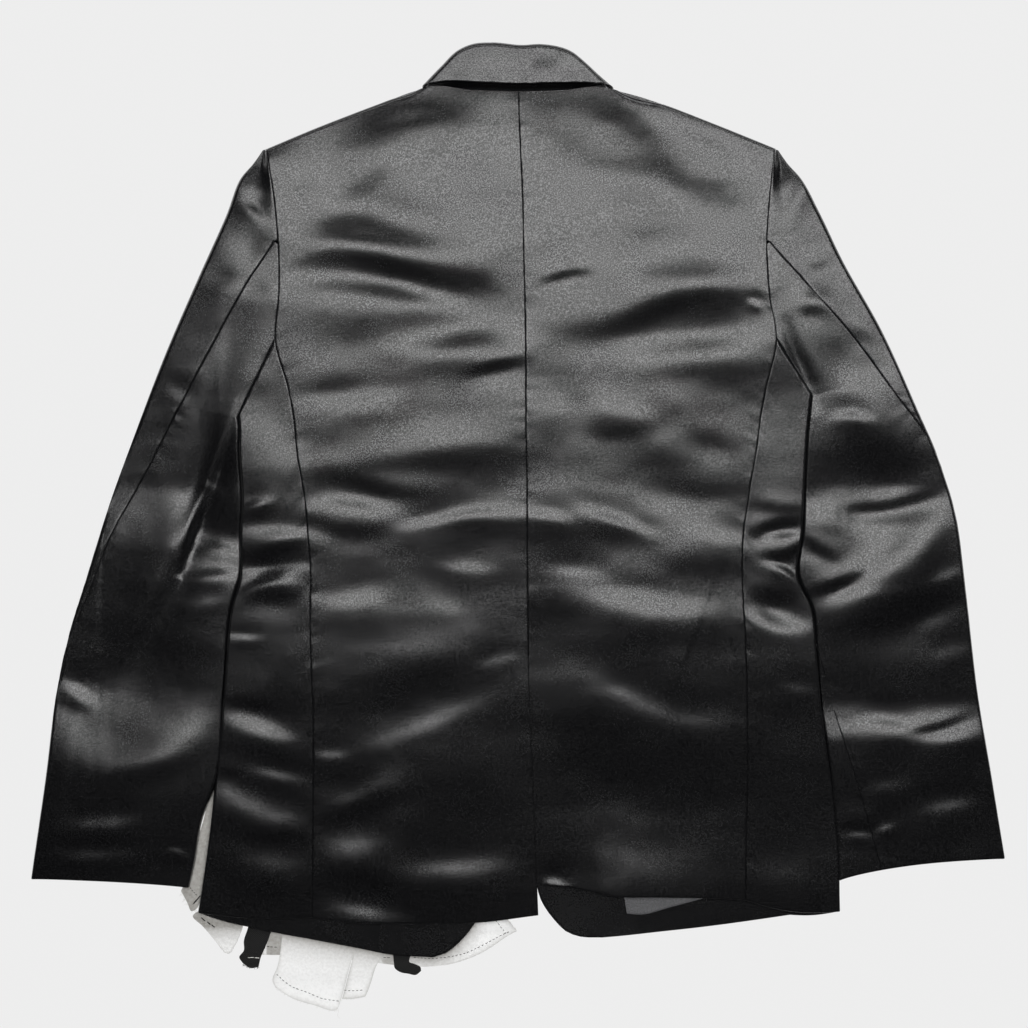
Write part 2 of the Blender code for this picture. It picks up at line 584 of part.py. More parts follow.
def make_facing(side):
    steps = np.linspace(0, 1, 10)
    inner = curve(FACING[side][::-1], steps)
    edge = np.array([p for p in FRONT_EDGE[side] if p[1] < FACING_TOP[side][1]], float)
    inward = -FACING_INSET if side == "left" else FACING_INSET
    edge = np.concatenate([[FACING_TOP[side]], edge + (inward, FACING_INSET)])
    edge = curve(edge, steps)
    across = np.linspace(0, 1, 6)
    top = curve([tuple(inner[0]), tuple(edge[0])], across)
    bottom = curve([tuple(inner[-1]), tuple((inner[-1] + edge[-1]) / 2 - (0, 0.6)), tuple(edge[-1])], across)
    plan = patch(top, bottom, inner, edge)
    body_wall("facing_" + side, plan, "under", SATIN_INSIDE, side, WALL + LAYER_GAP, SINGLE)


def sleeve_rows(side):
    # Stations of a sleeve: its inner and outer points, heights, and how far it is closed
    head = np.array(ARMHOLE_STEPS) / ARMHOLE_STEPS[-1] * HEAD_STATION
    under = HEAD_STATION + (UNDERARM_STATION - HEAD_STATION) * np.sin(np.linspace(0, math.pi / 2, 6))[1:]
    arm = np.linspace(UNDERARM_STATION, 1, ARM_ROWS + 1)[1:]
    station = np.concatenate([head, under, arm])
    table = SLEEVE_COLUMNS, SLEEVE[side]
    outer = np.stack([read(*table, "outer_x", station), read(*table, "outer_y", station)], axis=-1)
    armhole = panel_edge(side, 0.0)[: len(head)]
    turn = np.sin(np.linspace(0, math.pi / 2, 6))[1:, None]
    underarm_y = UNDERARM_Y[side]
    underarm = np.array((float(read(BODY_COLUMNS, BODY, side + "_fold", underarm_y)), underarm_y))
    armpit = armhole[-1] + (underarm - armhole[-1]) * turn
    y = np.linspace(underarm_y, CUFF_INNER_Y[side], ARM_ROWS + 1)[1:]
    sign = -1 if side == "left" else 1
    away = read(SLEEVE_AWAY_COLUMNS, SLEEVE_AWAY, side, y)
    x = read(BODY_COLUMNS, BODY, side + "_fold", y) + sign * away
    inner = np.concatenate([armhole, armpit, np.stack([x, y], axis=-1)])
    span = outer - inner
    away = span / np.linalg.norm(span, axis=1, keepdims=True)
    closed_by = len(head) + len(under)
    inner[:closed_by] += away[:closed_by] * SEAM_GAP
    inner[closed_by - 1] += away[closed_by - 1] * (SLEEVE_CLEAR - SEAM_GAP)
    grip = np.ones(len(station))
    grip[: len(head)] = np.interp(head, (0, HEAD_STATION), HEAD_GRIP)
    grip[len(head): closed_by] = np.linspace(HEAD_GRIP[1], 1, len(under) + 1)[1:]
    body_middle = FOLD_MIDDLE * read(BODY_COLUMNS, BODY, "rise", inner[:, 1])
    past = np.clip((station - UNDERARM_STATION) / 0.12, 0, 1)
    rows = {
        "inner": inner, "outer": outer, "grip": grip, "station": station, "head": len(head),
        "closed": closed_by, "rise": read(*table, "rise", station),
        "outer_middle": read(*table, "outer_middle", station),
        "inner_middle": body_middle * (1 - ease(past)) + INNER_MIDDLE * ease(past),
        "place": side, "match": np.where(np.arange(len(station)) < closed_by, 1.0, 0.0),
        "armhole_top": body_point(inner[:, 0], inner[:, 1], "top")[:, 2],
        "armhole_under": body_point(inner[:, 0], inner[:, 1], "under", 0.0, side)[:, 2],
    }
    return rows


def sleeve_point(rows, turn, inset=0.0):
    # Points round the sleeve: turn 0 is the inner fold, 0.5 the outer fold, by way of the top
    s = np.cos(2 * math.pi * turn)
    on_top = np.mod(turn, 1.0) < 0.5
    grip = rows["grip"][:, None]
    closed = np.clip((grip - HEAD_GRIP[1]) / (1 - HEAD_GRIP[1]), 0, 1)
    span = rows["outer"] - rows["inner"]
    along = span / np.linalg.norm(span, axis=1, keepdims=True)
    outer = rows["outer"] - along * inset
    inner = rows["inner"] + along * inset * closed
    unit = np.linalg.norm(outer - inner, axis=1)[:, None] / (grip + 1)
    plan = inner[:, None] + (outer - inner)[:, None] * ((grip - s) / (grip + 1))[..., None]
    from_outer, from_inner = (s + 1) * unit, (1 - s) * unit
    cuff = ease((CUFF_INNER_Y[rows["place"]] + CUFF_REACH - plan[..., 1]) / CUFF_REACH)
    plan[..., 1] += CUFF_BOW[rows["place"]] * cuff * np.clip(1 - s * s, 0, 1) ** 0.75
    rise = rows["rise"][:, None]
    share = (s + 1) / 2
    middle = rows["outer_middle"][:, None] * (1 - share) + rows["inner_middle"][:, None] * share
    reach = FOLD_REACH * (rise - middle)
    full = 1.0
    for distance in (from_outer, from_inner):
        full = full * (0.7 * quarter(distance / (reach - inset)) + 0.3 * quarter(distance / SLEEVE_PILLOW))
    crease = folds(rows["place"], plan[..., 0], plan[..., 1])
    near = ease((s - grip + ARMHOLE_EASE) / ARMHOLE_EASE) * rows["match"][:, None]
    top = middle + (rise - inset - middle + crease) * full
    top = top + (rows["armhole_top"][:, None] - inset * (1 - closed) - top) * near
    flat = quarter(from_outer / SLEEVE_UNDER_REACH) * quarter(from_inner / SLEEVE_UNDER_REACH)
    strip = 0.0
    if rows["place"] == "left":
        strip = LOW_LAYER * ease((-190 - plan[..., 1]) / 25) * (1 - ease((from_inner - 26) / 20))
    under = middle * (1 - flat) + (inset + strip) * flat
    under = under + (rows["armhole_under"][:, None] + inset * (1 - closed) - under) * near
    return np.concatenate([plan, np.where(on_top, top, under)[..., None]], axis=-1)


def turn_at(share, grip):
    # Turn of the point that is this share of the way across the top, from the inner edge.
    # Below 0 it is underneath by the inner fold, above 1 underneath by the outer fold.
    inside = np.clip(np.where(share > 1, 2 - share, np.abs(share)), 0, 1)
    s = grip - inside * (grip + 1)
    turn = np.arccos(np.clip(s, -1, 1)) / (2 * math.pi)
    return np.where(share > 1, 1 - turn, np.where(share < 0, -turn, turn))


def seam_share(rows, seam):
    # Share of the way across each row at which a drawn seam crosses it
    line = np.array(seam[::-1], float)
    t = np.linspace(0, 1, 241)[None, :, None]
    points = rows["inner"][:, None] * (1 - t) + rows["outer"][:, None] * t
    seam_x = smooth(line[:, 1], line[:, 0], points[..., 1])
    return np.argmin(np.abs(points[..., 0] - seam_x), axis=1) / 240


def turn_gap(rows, turn):
    # Half a seam gap, as a part of a full turn
    unit = np.linalg.norm(rows["outer"] - rows["inner"], axis=1) / (rows["grip"] + 1)
    rate = np.hypot(unit * np.sin(2 * math.pi * turn), FOLD_RATE * np.cos(2 * math.pi * turn))
    return SEAM_GAP / (4 * math.pi * rate)


def make_sleeve(side):
    rows = sleeve_rows(side)
    station, grip, closed_by = rows["station"], rows["grip"], rows["closed"]
    first_under = 6
    armhole_turn = np.arccos(grip) / (2 * math.pi)
    back = seam_share(rows, BACK_SEAM[side])
    end_y = BACK_SEAM[side][-1][1]
    outer_y = rows["outer"][:, 1]
    past_end = np.clip((end_y - outer_y) / (end_y - outer_y[-1]), 0, 1)
    back = np.where(outer_y < end_y, 1 + (BACK_SEAM_END[side] - 1) * past_end, back)
    back_turn = turn_at(back, grip)
    back_turn[first_under] = armhole_turn[first_under] + 0.006
    start, finish = FRONT_SEAM_TURN[side]
    past = ease((station - station[closed_by - 1]) / 0.08)
    rising = np.clip((FRONT_SEAM_RISES[side] - rows["inner"][:, 1]) / 210, 0, 1)
    front = start * past + (finish - start) * rising
    front_turn = turn_at(front, grip)
    is_armhole = np.arange(len(station)) < closed_by
    is_head = np.arange(len(station)) < first_under
    back_gap, front_gap = turn_gap(rows, back_turn), turn_gap(rows, front_turn)

    front_turn = np.where(is_armhole, 0.0, front_turn)
    begin = np.where(is_head, armhole_turn, back_turn + back_gap)
    stop = np.minimum(1 - np.where(is_armhole, armhole_turn, -1.0), 1 + front_turn - front_gap)
    across = np.linspace(0, 1, 12)
    turn = begin[:, None] + (stop - begin)[:, None] * across
    wall(f"sleeve_{side}_upper", sleeve_point(rows, turn), sleeve_point(rows, turn, WALL), SATIN)

    begin = np.maximum(np.where(is_armhole, armhole_turn, -1.0), front_turn + front_gap)
    stop = back_turn - back_gap
    across = np.linspace(0, 1, 10)
    turn = begin[:, None] + (stop - begin)[:, None] * across
    outer, inner = sleeve_point(rows, turn)[first_under:], sleeve_point(rows, turn, WALL)[first_under:]
    wall(f"sleeve_{side}_under", outer, inner, SATIN)


def make_collar():
    across = np.linspace(0, 1, 15)
    down = np.array((0, 0.05, 0.16, 0.34, 0.62, 1.0))
    roll = curve(COLLAR_ROLL, across)
    free = curve(COLLAR_FREE_EDGE, across)
    neck = curve([(-80, 387.2)] + list(NECK_SEAM[1:-1]) + [(80, 386.2)], across)
    neck[:, 1] += 2 * SEAM_GAP
    for name, edge in (("collar_fall", free), ("collar_stand", neck)):
        lines = roll[None] + (edge - roll)[None] * down[:, None, None]
        depth = np.linalg.norm(lines - roll[None], axis=-1)
        grids = []
        for inset in (0.0, COLLAR_WALL):
            share = np.clip(depth / COLLAR_REACH, 0, 1)
            inside = depth - inset * share
            plan = lines.copy()
            plan[..., 1] -= inset * (1 - share)
            if name == "collar_fall":
                height = COLLAR_RISE - inset - COLLAR_MIDDLE
                z = COLLAR_MIDDLE + SEAM_GAP / 2 + height * quarter(inside / (COLLAR_REACH - inset))
            else:
                dip = (STAND_DIP - inset) * quarter(inside / (COLLAR_REACH / 2))
                z = COLLAR_MIDDLE - SEAM_GAP / 2 - dip + STAND_RISE * ease(depth / COLLAR_DEPTH)
            grids.append(np.concatenate([plan, z[..., None]], axis=-1))
        wall(name, grids[0], grids[1], SATIN)


def support(*pieces):
    # Ray caster that finds the highest surface of some pieces over a plan point
    trees = []
    for piece in pieces:
        mesh = piece.data
        trees.append(BVHTree.FromPolygons([v.co for v in mesh.vertices], [p.vertices for p in mesh.polygons]))

    def height(x, y):
        hits = [tree.ray_cast(Vector((x * MM, y * MM, 1.0)), Vector((0, 0, -1)))[0] for tree in trees]
        found = [hit.z / MM for hit in hits if hit is not None]
        return max(found) if found else 0.0

    return height


def make_flap(side):
    # Flat under the front, then up beneath the body's fold and over the sleeve
    sign = -1 if side == "left" else 1
    tip_top, tip_low, inner_top, inner_foot = FLAP[side]
    sleeve = support(bpy.data.objects[f"sleeve_{side}_under"], bpy.data.objects[f"sleeve_{side}_upper"])
    down = np.linspace(0, 1, 7)
    fold_y = tip_top[1] + (tip_low[1] - tip_top[1]) * down
    fold_x = read(BODY_COLUMNS, BODY, side + "_fold", fold_y)
    tip_x = tip_top[0] + (tip_low[0] - tip_top[0]) * down
    tip_x = sign * np.maximum(sign * tip_x, sign * fold_x + 1.0)
    inner_y = inner_top + (inner_foot - inner_top) * down
    from_fold = np.array((-1.0, -40.0, -24.0, -13.0, -6.0, -2.0, 0.0))
    beyond = (0.14, 0.28, 0.45, 0.7, 1.0)
    x = np.empty((len(down), len(from_fold) + len(beyond)))
    x[:, 0] = sign * FLAP_INNER_X
    for i, distance in enumerate(from_fold[1:], start=1):
        x[:, i] = fold_x + sign * distance
    for i, share in enumerate(beyond, start=len(from_fold)):
        x[:, i] = fold_x + (tip_x - fold_x) * share
    share = np.clip((x - x[:, :1]) / (x[:, -1:] - x[:, :1]), 0, 1)
    y = inner_y[:, None] + (fold_y - inner_y)[:, None] * share
    under = body_point(x, y, "under", 0.0, side)[..., 2] - LAYER_GAP
    inside = np.broadcast_to(np.arange(x.shape[1]) < len(from_fold), x.shape)
    low = np.where(inside, under - SINGLE, 0.0)
    for i, j in zip(*np.nonzero(~inside)):
        low[i, j] = max(sleeve(x[i, j] + sign * past, y[i, j]) for past in (0.0, 0.5, 1.0)) + FLAP_CLEAR
    low = np.where(inside, low, np.maximum.accumulate(low, axis=1))
    low = np.maximum(low, 0.0)
    bottom = np.stack([x, y, low], axis=-1)
    top = np.stack([x, y, low + SINGLE], axis=-1)
    wall("flap_" + side, top, bottom, SATIN)


def make_button(name, place):
    # A disc with a raised rim, turned round its own axis
    rim, body = BUTTON_RADIUS - 0.6, BUTTON_RADIUS
    radii = np.array((0.0, 6.4, 7.4, rim, body, body, rim, 0.0))
    top = BUTTON_THICKNESS
    heights = np.array((BUTTON_RIM, BUTTON_RIM, 0, 0, 0.6, top - 0.6, top, top))
    sides = 16
    angle = np.arange(sides) * 2 * math.pi / sides
    middle = len(radii) - 2
    ring = np.stack([radii[1:-1, None] * np.cos(angle), radii[1:-1, None] * np.sin(angle),
                     np.repeat(heights[1:-1, None], sides, axis=1)], axis=-1).reshape(-1, 3)
    points = np.concatenate([ring, [(0, 0, heights[0]), (0, 0, heights[-1])]]) + (*place, 0)
    faces = []
    for i in range(sides):
        j = (i + 1) % sides
        faces.append((len(ring), i, j))
        faces += [(a * sides + i, (a + 1) * sides + i, (a + 1) * sides + j) for a in range(middle - 1)]
        faces += [(a * sides + i, (a + 1) * sides + j, a * sides + j) for a in range(middle - 1)]
        faces.append((len(ring) + 1, (middle - 1) * sides + j, (middle - 1) * sides + i))
    add_mesh(name, points * MM, np.array(faces), HORN)


def make_strip(name, finish):
    left, right = STRIPS[name]
    down = np.linspace(0, 1, 8)
    across = np.linspace(0, 1, 5)
    left, right = curve(left, down), curve(right, down)
    top = curve([tuple(left[0]), tuple(right[0])], across)
    bottom = curve(STRIP_END[name], across)
    plan = patch(top, bottom, left, right)
    low = np.zeros(plan.shape[:2])
    if name in DROOP_FROM:
        low = LOW_LAYER * (1 - ease((DROOP_FROM[name] - plan[..., 1]) / DROOP_LENGTH))
    grids = [np.concatenate([plan, (low + up)[..., None]], axis=-1) for up in (SINGLE, 0.0)]
    wall(name, grids[0], grids[1], finish)


def make_hem_band():
    across, down = np.linspace(0, 1, 19), np.linspace(0, 1, 5)
    inner, outer = curve(BAND_INNER, across), curve(BAND_OUTER, across)
    left = curve([tuple(inner[0]), tuple(outer[0])], down)
    right = curve([tuple(inner[-1])] + list(BAND_RIGHT_END[1:-1]) + [tuple(outer[-1])], down)
    plan = patch(inner, outer, left, right)
    grids = [np.concatenate([plan, np.full(plan.shape[:2] + (1,), up)], axis=-1) for up in (SINGLE, 0.0)]
    wall("hem_band", grids[0], grids[1], WHITE_COTTON)


def recentre():
    # Puts the origin at the middle of the box that holds every piece, on its floor
    low, high = np.full(3, np.inf), np.full(3, -np.inf)
    for piece in bpy.data.objects:
        corners = np.array([vertex.co[:] for vertex in piece.data.vertices])
        low, high = np.minimum(low, corners.min(axis=0)), np.maximum(high, corners.max(axis=0))
    shift = Vector((-(low[0] + high[0]) / 2, -(low[1] + high[1]) / 2, -low[2]))
    for piece in bpy.data.objects:
        for vertex in piece.data.vertices:
            vertex.co += shift


def main():
    for old in list(bpy.data.objects):
        bpy.data.objects.remove(old, do_unlink=True)
    make_backs()
    for side in ("left", "right"):
        make_side(side)
        body_wall("front_" + side, front_plan(side), "under", SATIN, side)
        make_facing(side)
        make_sleeve(side)
        make_flap(side)
        slab("lapel_" + side, LAPEL[side], 0.0, COLLAR_WALL, SATIN)
        slab("collar_end_" + side, COLLAR_END[side], 0.0, COLLAR_WALL, SATIN)
    make_collar()
    for name, place in BUTTON_PLACES.items():
        make_button(name, place)
    make_hem_band()
    for name in STRIPS:
        make_strip(name, BLACK_TAPE if "black" in name else WHITE_COTTON)
    slab("inner_patch", INNER_PATCH, WALL + SINGLE + 2 * LAYER_GAP, SINGLE, GREY_SATIN)
    recentre()


main()
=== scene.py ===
import math

import bpy
import numpy as np
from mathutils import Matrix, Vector
from mathutils.bvhtree import BVHTree


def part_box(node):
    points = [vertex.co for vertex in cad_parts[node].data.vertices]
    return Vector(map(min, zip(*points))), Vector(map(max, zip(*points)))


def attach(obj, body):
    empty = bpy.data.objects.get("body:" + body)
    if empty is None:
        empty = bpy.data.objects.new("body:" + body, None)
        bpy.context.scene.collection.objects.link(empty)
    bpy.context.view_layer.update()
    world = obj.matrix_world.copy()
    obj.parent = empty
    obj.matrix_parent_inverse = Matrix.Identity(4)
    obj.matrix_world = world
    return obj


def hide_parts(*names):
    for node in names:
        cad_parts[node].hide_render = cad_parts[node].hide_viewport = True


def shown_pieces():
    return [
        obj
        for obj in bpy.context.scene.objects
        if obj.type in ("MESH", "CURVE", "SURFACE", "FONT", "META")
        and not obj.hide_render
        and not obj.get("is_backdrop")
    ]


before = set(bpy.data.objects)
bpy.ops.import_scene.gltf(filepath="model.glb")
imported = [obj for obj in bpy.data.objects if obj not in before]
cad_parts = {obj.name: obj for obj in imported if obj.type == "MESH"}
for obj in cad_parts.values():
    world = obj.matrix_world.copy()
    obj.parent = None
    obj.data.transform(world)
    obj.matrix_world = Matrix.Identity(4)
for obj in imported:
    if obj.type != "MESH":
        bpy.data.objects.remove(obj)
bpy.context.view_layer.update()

metre = 0.001

# Cloth, seams and folds in millimetres, as in the CAD: layers, gaps, where a fold has its
# middle and how far it reaches as shares of the rise, and how round the body is
clothWall = 2.0
collarWall = 1.6
singleLayer = 1.0
faceGap = 0.4
sewnGap = -0.16
layerGap = 0.35
foldMiddle = 0.5
foldReach = 0.32
foldLeast = 0.6
roundShare = 0.75
shoulderRound = 0.8
pillowReach = 90.0
underReach = 20.0
shoulderSlope = 0.93
sleevePillow = 60.0
sleeveUnderReach = 14.0
armholeDepth = 167.0
ventTop = -112.0
ventUnderlap = 35.0
lowLayer = singleLayer + layerGap
hemLift = lowLayer + singleLayer + layerGap

# Rolled edges of sewn panels
rollDepth = 0.6
rollReach = 1.7
pucker = {"height": 0.28, "step": 5.5, "reach": 7.0}
nearEdge = np.array((0, 0.25, 0.6, 1.05, 1.6, 2.3, 3.2, 4.4))

# How much of the CAD's broad folds stays under the finer creases, and of the creases' heights
broadShare = 0.45
creaseShare = 0.85

# The button's place in the drawing, from which the frame's shift is found
upperButton = (7.0, 42.0)
buttonLow, buttonHigh = (np.array(corner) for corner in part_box("button_upper"))
shift = (buttonLow + buttonHigh)[:2] / 2 - np.array(upperButton) * metre

bodyColumns = ("y", "centre", "left", "left_fold", "right", "right_fold", "rise")
bodyTable = (
    (-400, 20, -181, -292, 200, 290, 7.5),
    (-345, 18, -181, -283, 200, 284.5, 9),
    (-282, 15.5, -180.5, -273.5, 201, 282.5, 11.5),
    (-226, 13.5, -180, -267, 202, 277, 13),
    (-166, 11, -180, -261, 201.5, 268.5, 14),
    (-109, 9, -182, -257, 200, 263, 14.5),
    (-68, 8.6, -182.5, -252, 198, 258, 15),
    (-46, 8.5, -182, -245.5, 197, 247.5, 15),
    (-5, 8, -184.5, -245, 198, 250.5, 15.5),
    (25, 8, -187, -243.5, 202, 252, 16),
    (67, 7.5, -194, -246, 209, 254, 17),
    (97, 7, -197, -247, 213, 256.5, 17.5),
    (122, 7, -201.5, -258, 217.5, 260.5, 18),
    (166, 6.5, -213, -282, 226.5, 290, 19),
    (201, 6, -210, -308, 221, 314, 19.5),
    (242, 5, -210, -335, 218, 340, 20),
    (290, 4, -214, -370, 220.5, 375, 21),
    (333, 2, -220.5, -400, 225, 405, 21),
    (400, 0, -225, -460, 229, 460, 18.5),
)
shoulderLine = (
    (-420, 260), (-300, 300), (-221, 333), (-181, 350), (-148, 363), (-114, 376), (-84, 387.5),
    (-60, 408), (0, 430), (60, 408), (86, 386), (132, 371), (168, 357), (225, 334),
    (300, 304), (420, 260),
)
armholeFoot = 166.0
shoulderTip = {"left": (-220.5, 333.0), "right": (225.0, 333.0)}
underarmY = {"left": 97.0, "right": 116.0}
sideHem = {"left": -339.0, "right": -338.0}
neckTop = 382.0
neckSeam = ((-84, 386), (-76, 387.4), (-40, 383.5), (0, 382), (40, 383.5), (69, 387), (86, 384.5))

# The largest folds of the upper side, shared with the CAD
broadFolds = {
    "body": (
        (-120, 272, 210, -28, 26, -3.6), (-95, 246, 250, -4, 17, 3.2), (-105, 216, 230, -4, 15, -2.6),
        (-70, 176, 230, 8, 18, -3.0), (-60, 152, 170, 4, 16, 3.0), (-50, 82, 220, 6, 20, 3.4),
        (-110, 46, 210, 2, 18, -3.0), (30, 8, 260, 0, 20, 3.6), (-85, -118, 200, 22, 22, 3.0),
        (-90, -152, 190, 20, 20, -2.4), (115, 300, 260, -24, 30, -4.2), (150, 215, 190, -6, 24, 3.6),
        (140, 166, 200, 4, 20, -3.2), (150, 150, 190, 2, 17, 2.8), (140, 40, 190, -4, 20, -3.2),
        (140, -45, 200, -6, 22, 3.2), (90, -140, 170, -16, 26, -3.4), (-230, 20, 60, 30, 11, 2.6),
        (-232, -34, 60, -6, 11, -2.6), (232, -30, 60, -24, 12, 2.8), (228, -66, 70, 8, 11, -2.4),
    ),
    "left": (
        (-240, 250, 60, -6, 14, -2.6), (-240, 222, 70, 4, 12, 2.6), (-276, 55, 150, 69, 11, -4.2),
        (-272, -35, 60, 4, 12, 2.4), (-345, -190, 130, -6, 26, -3.0), (-350, -165, 120, -12, 18, 2.8),
    ),
    "right": (
        (272, 244, 70, -8, 13, -2.8), (262, 192, 80, 6, 14, 2.6), (300, 142, 90, -12, 18, -3.0),
        (315, 22, 130, 34, 20, -3.6), (330, -28, 130, 28, 17, 3.6), (330, -80, 150, 6, 24, -2.8),
    ),
}

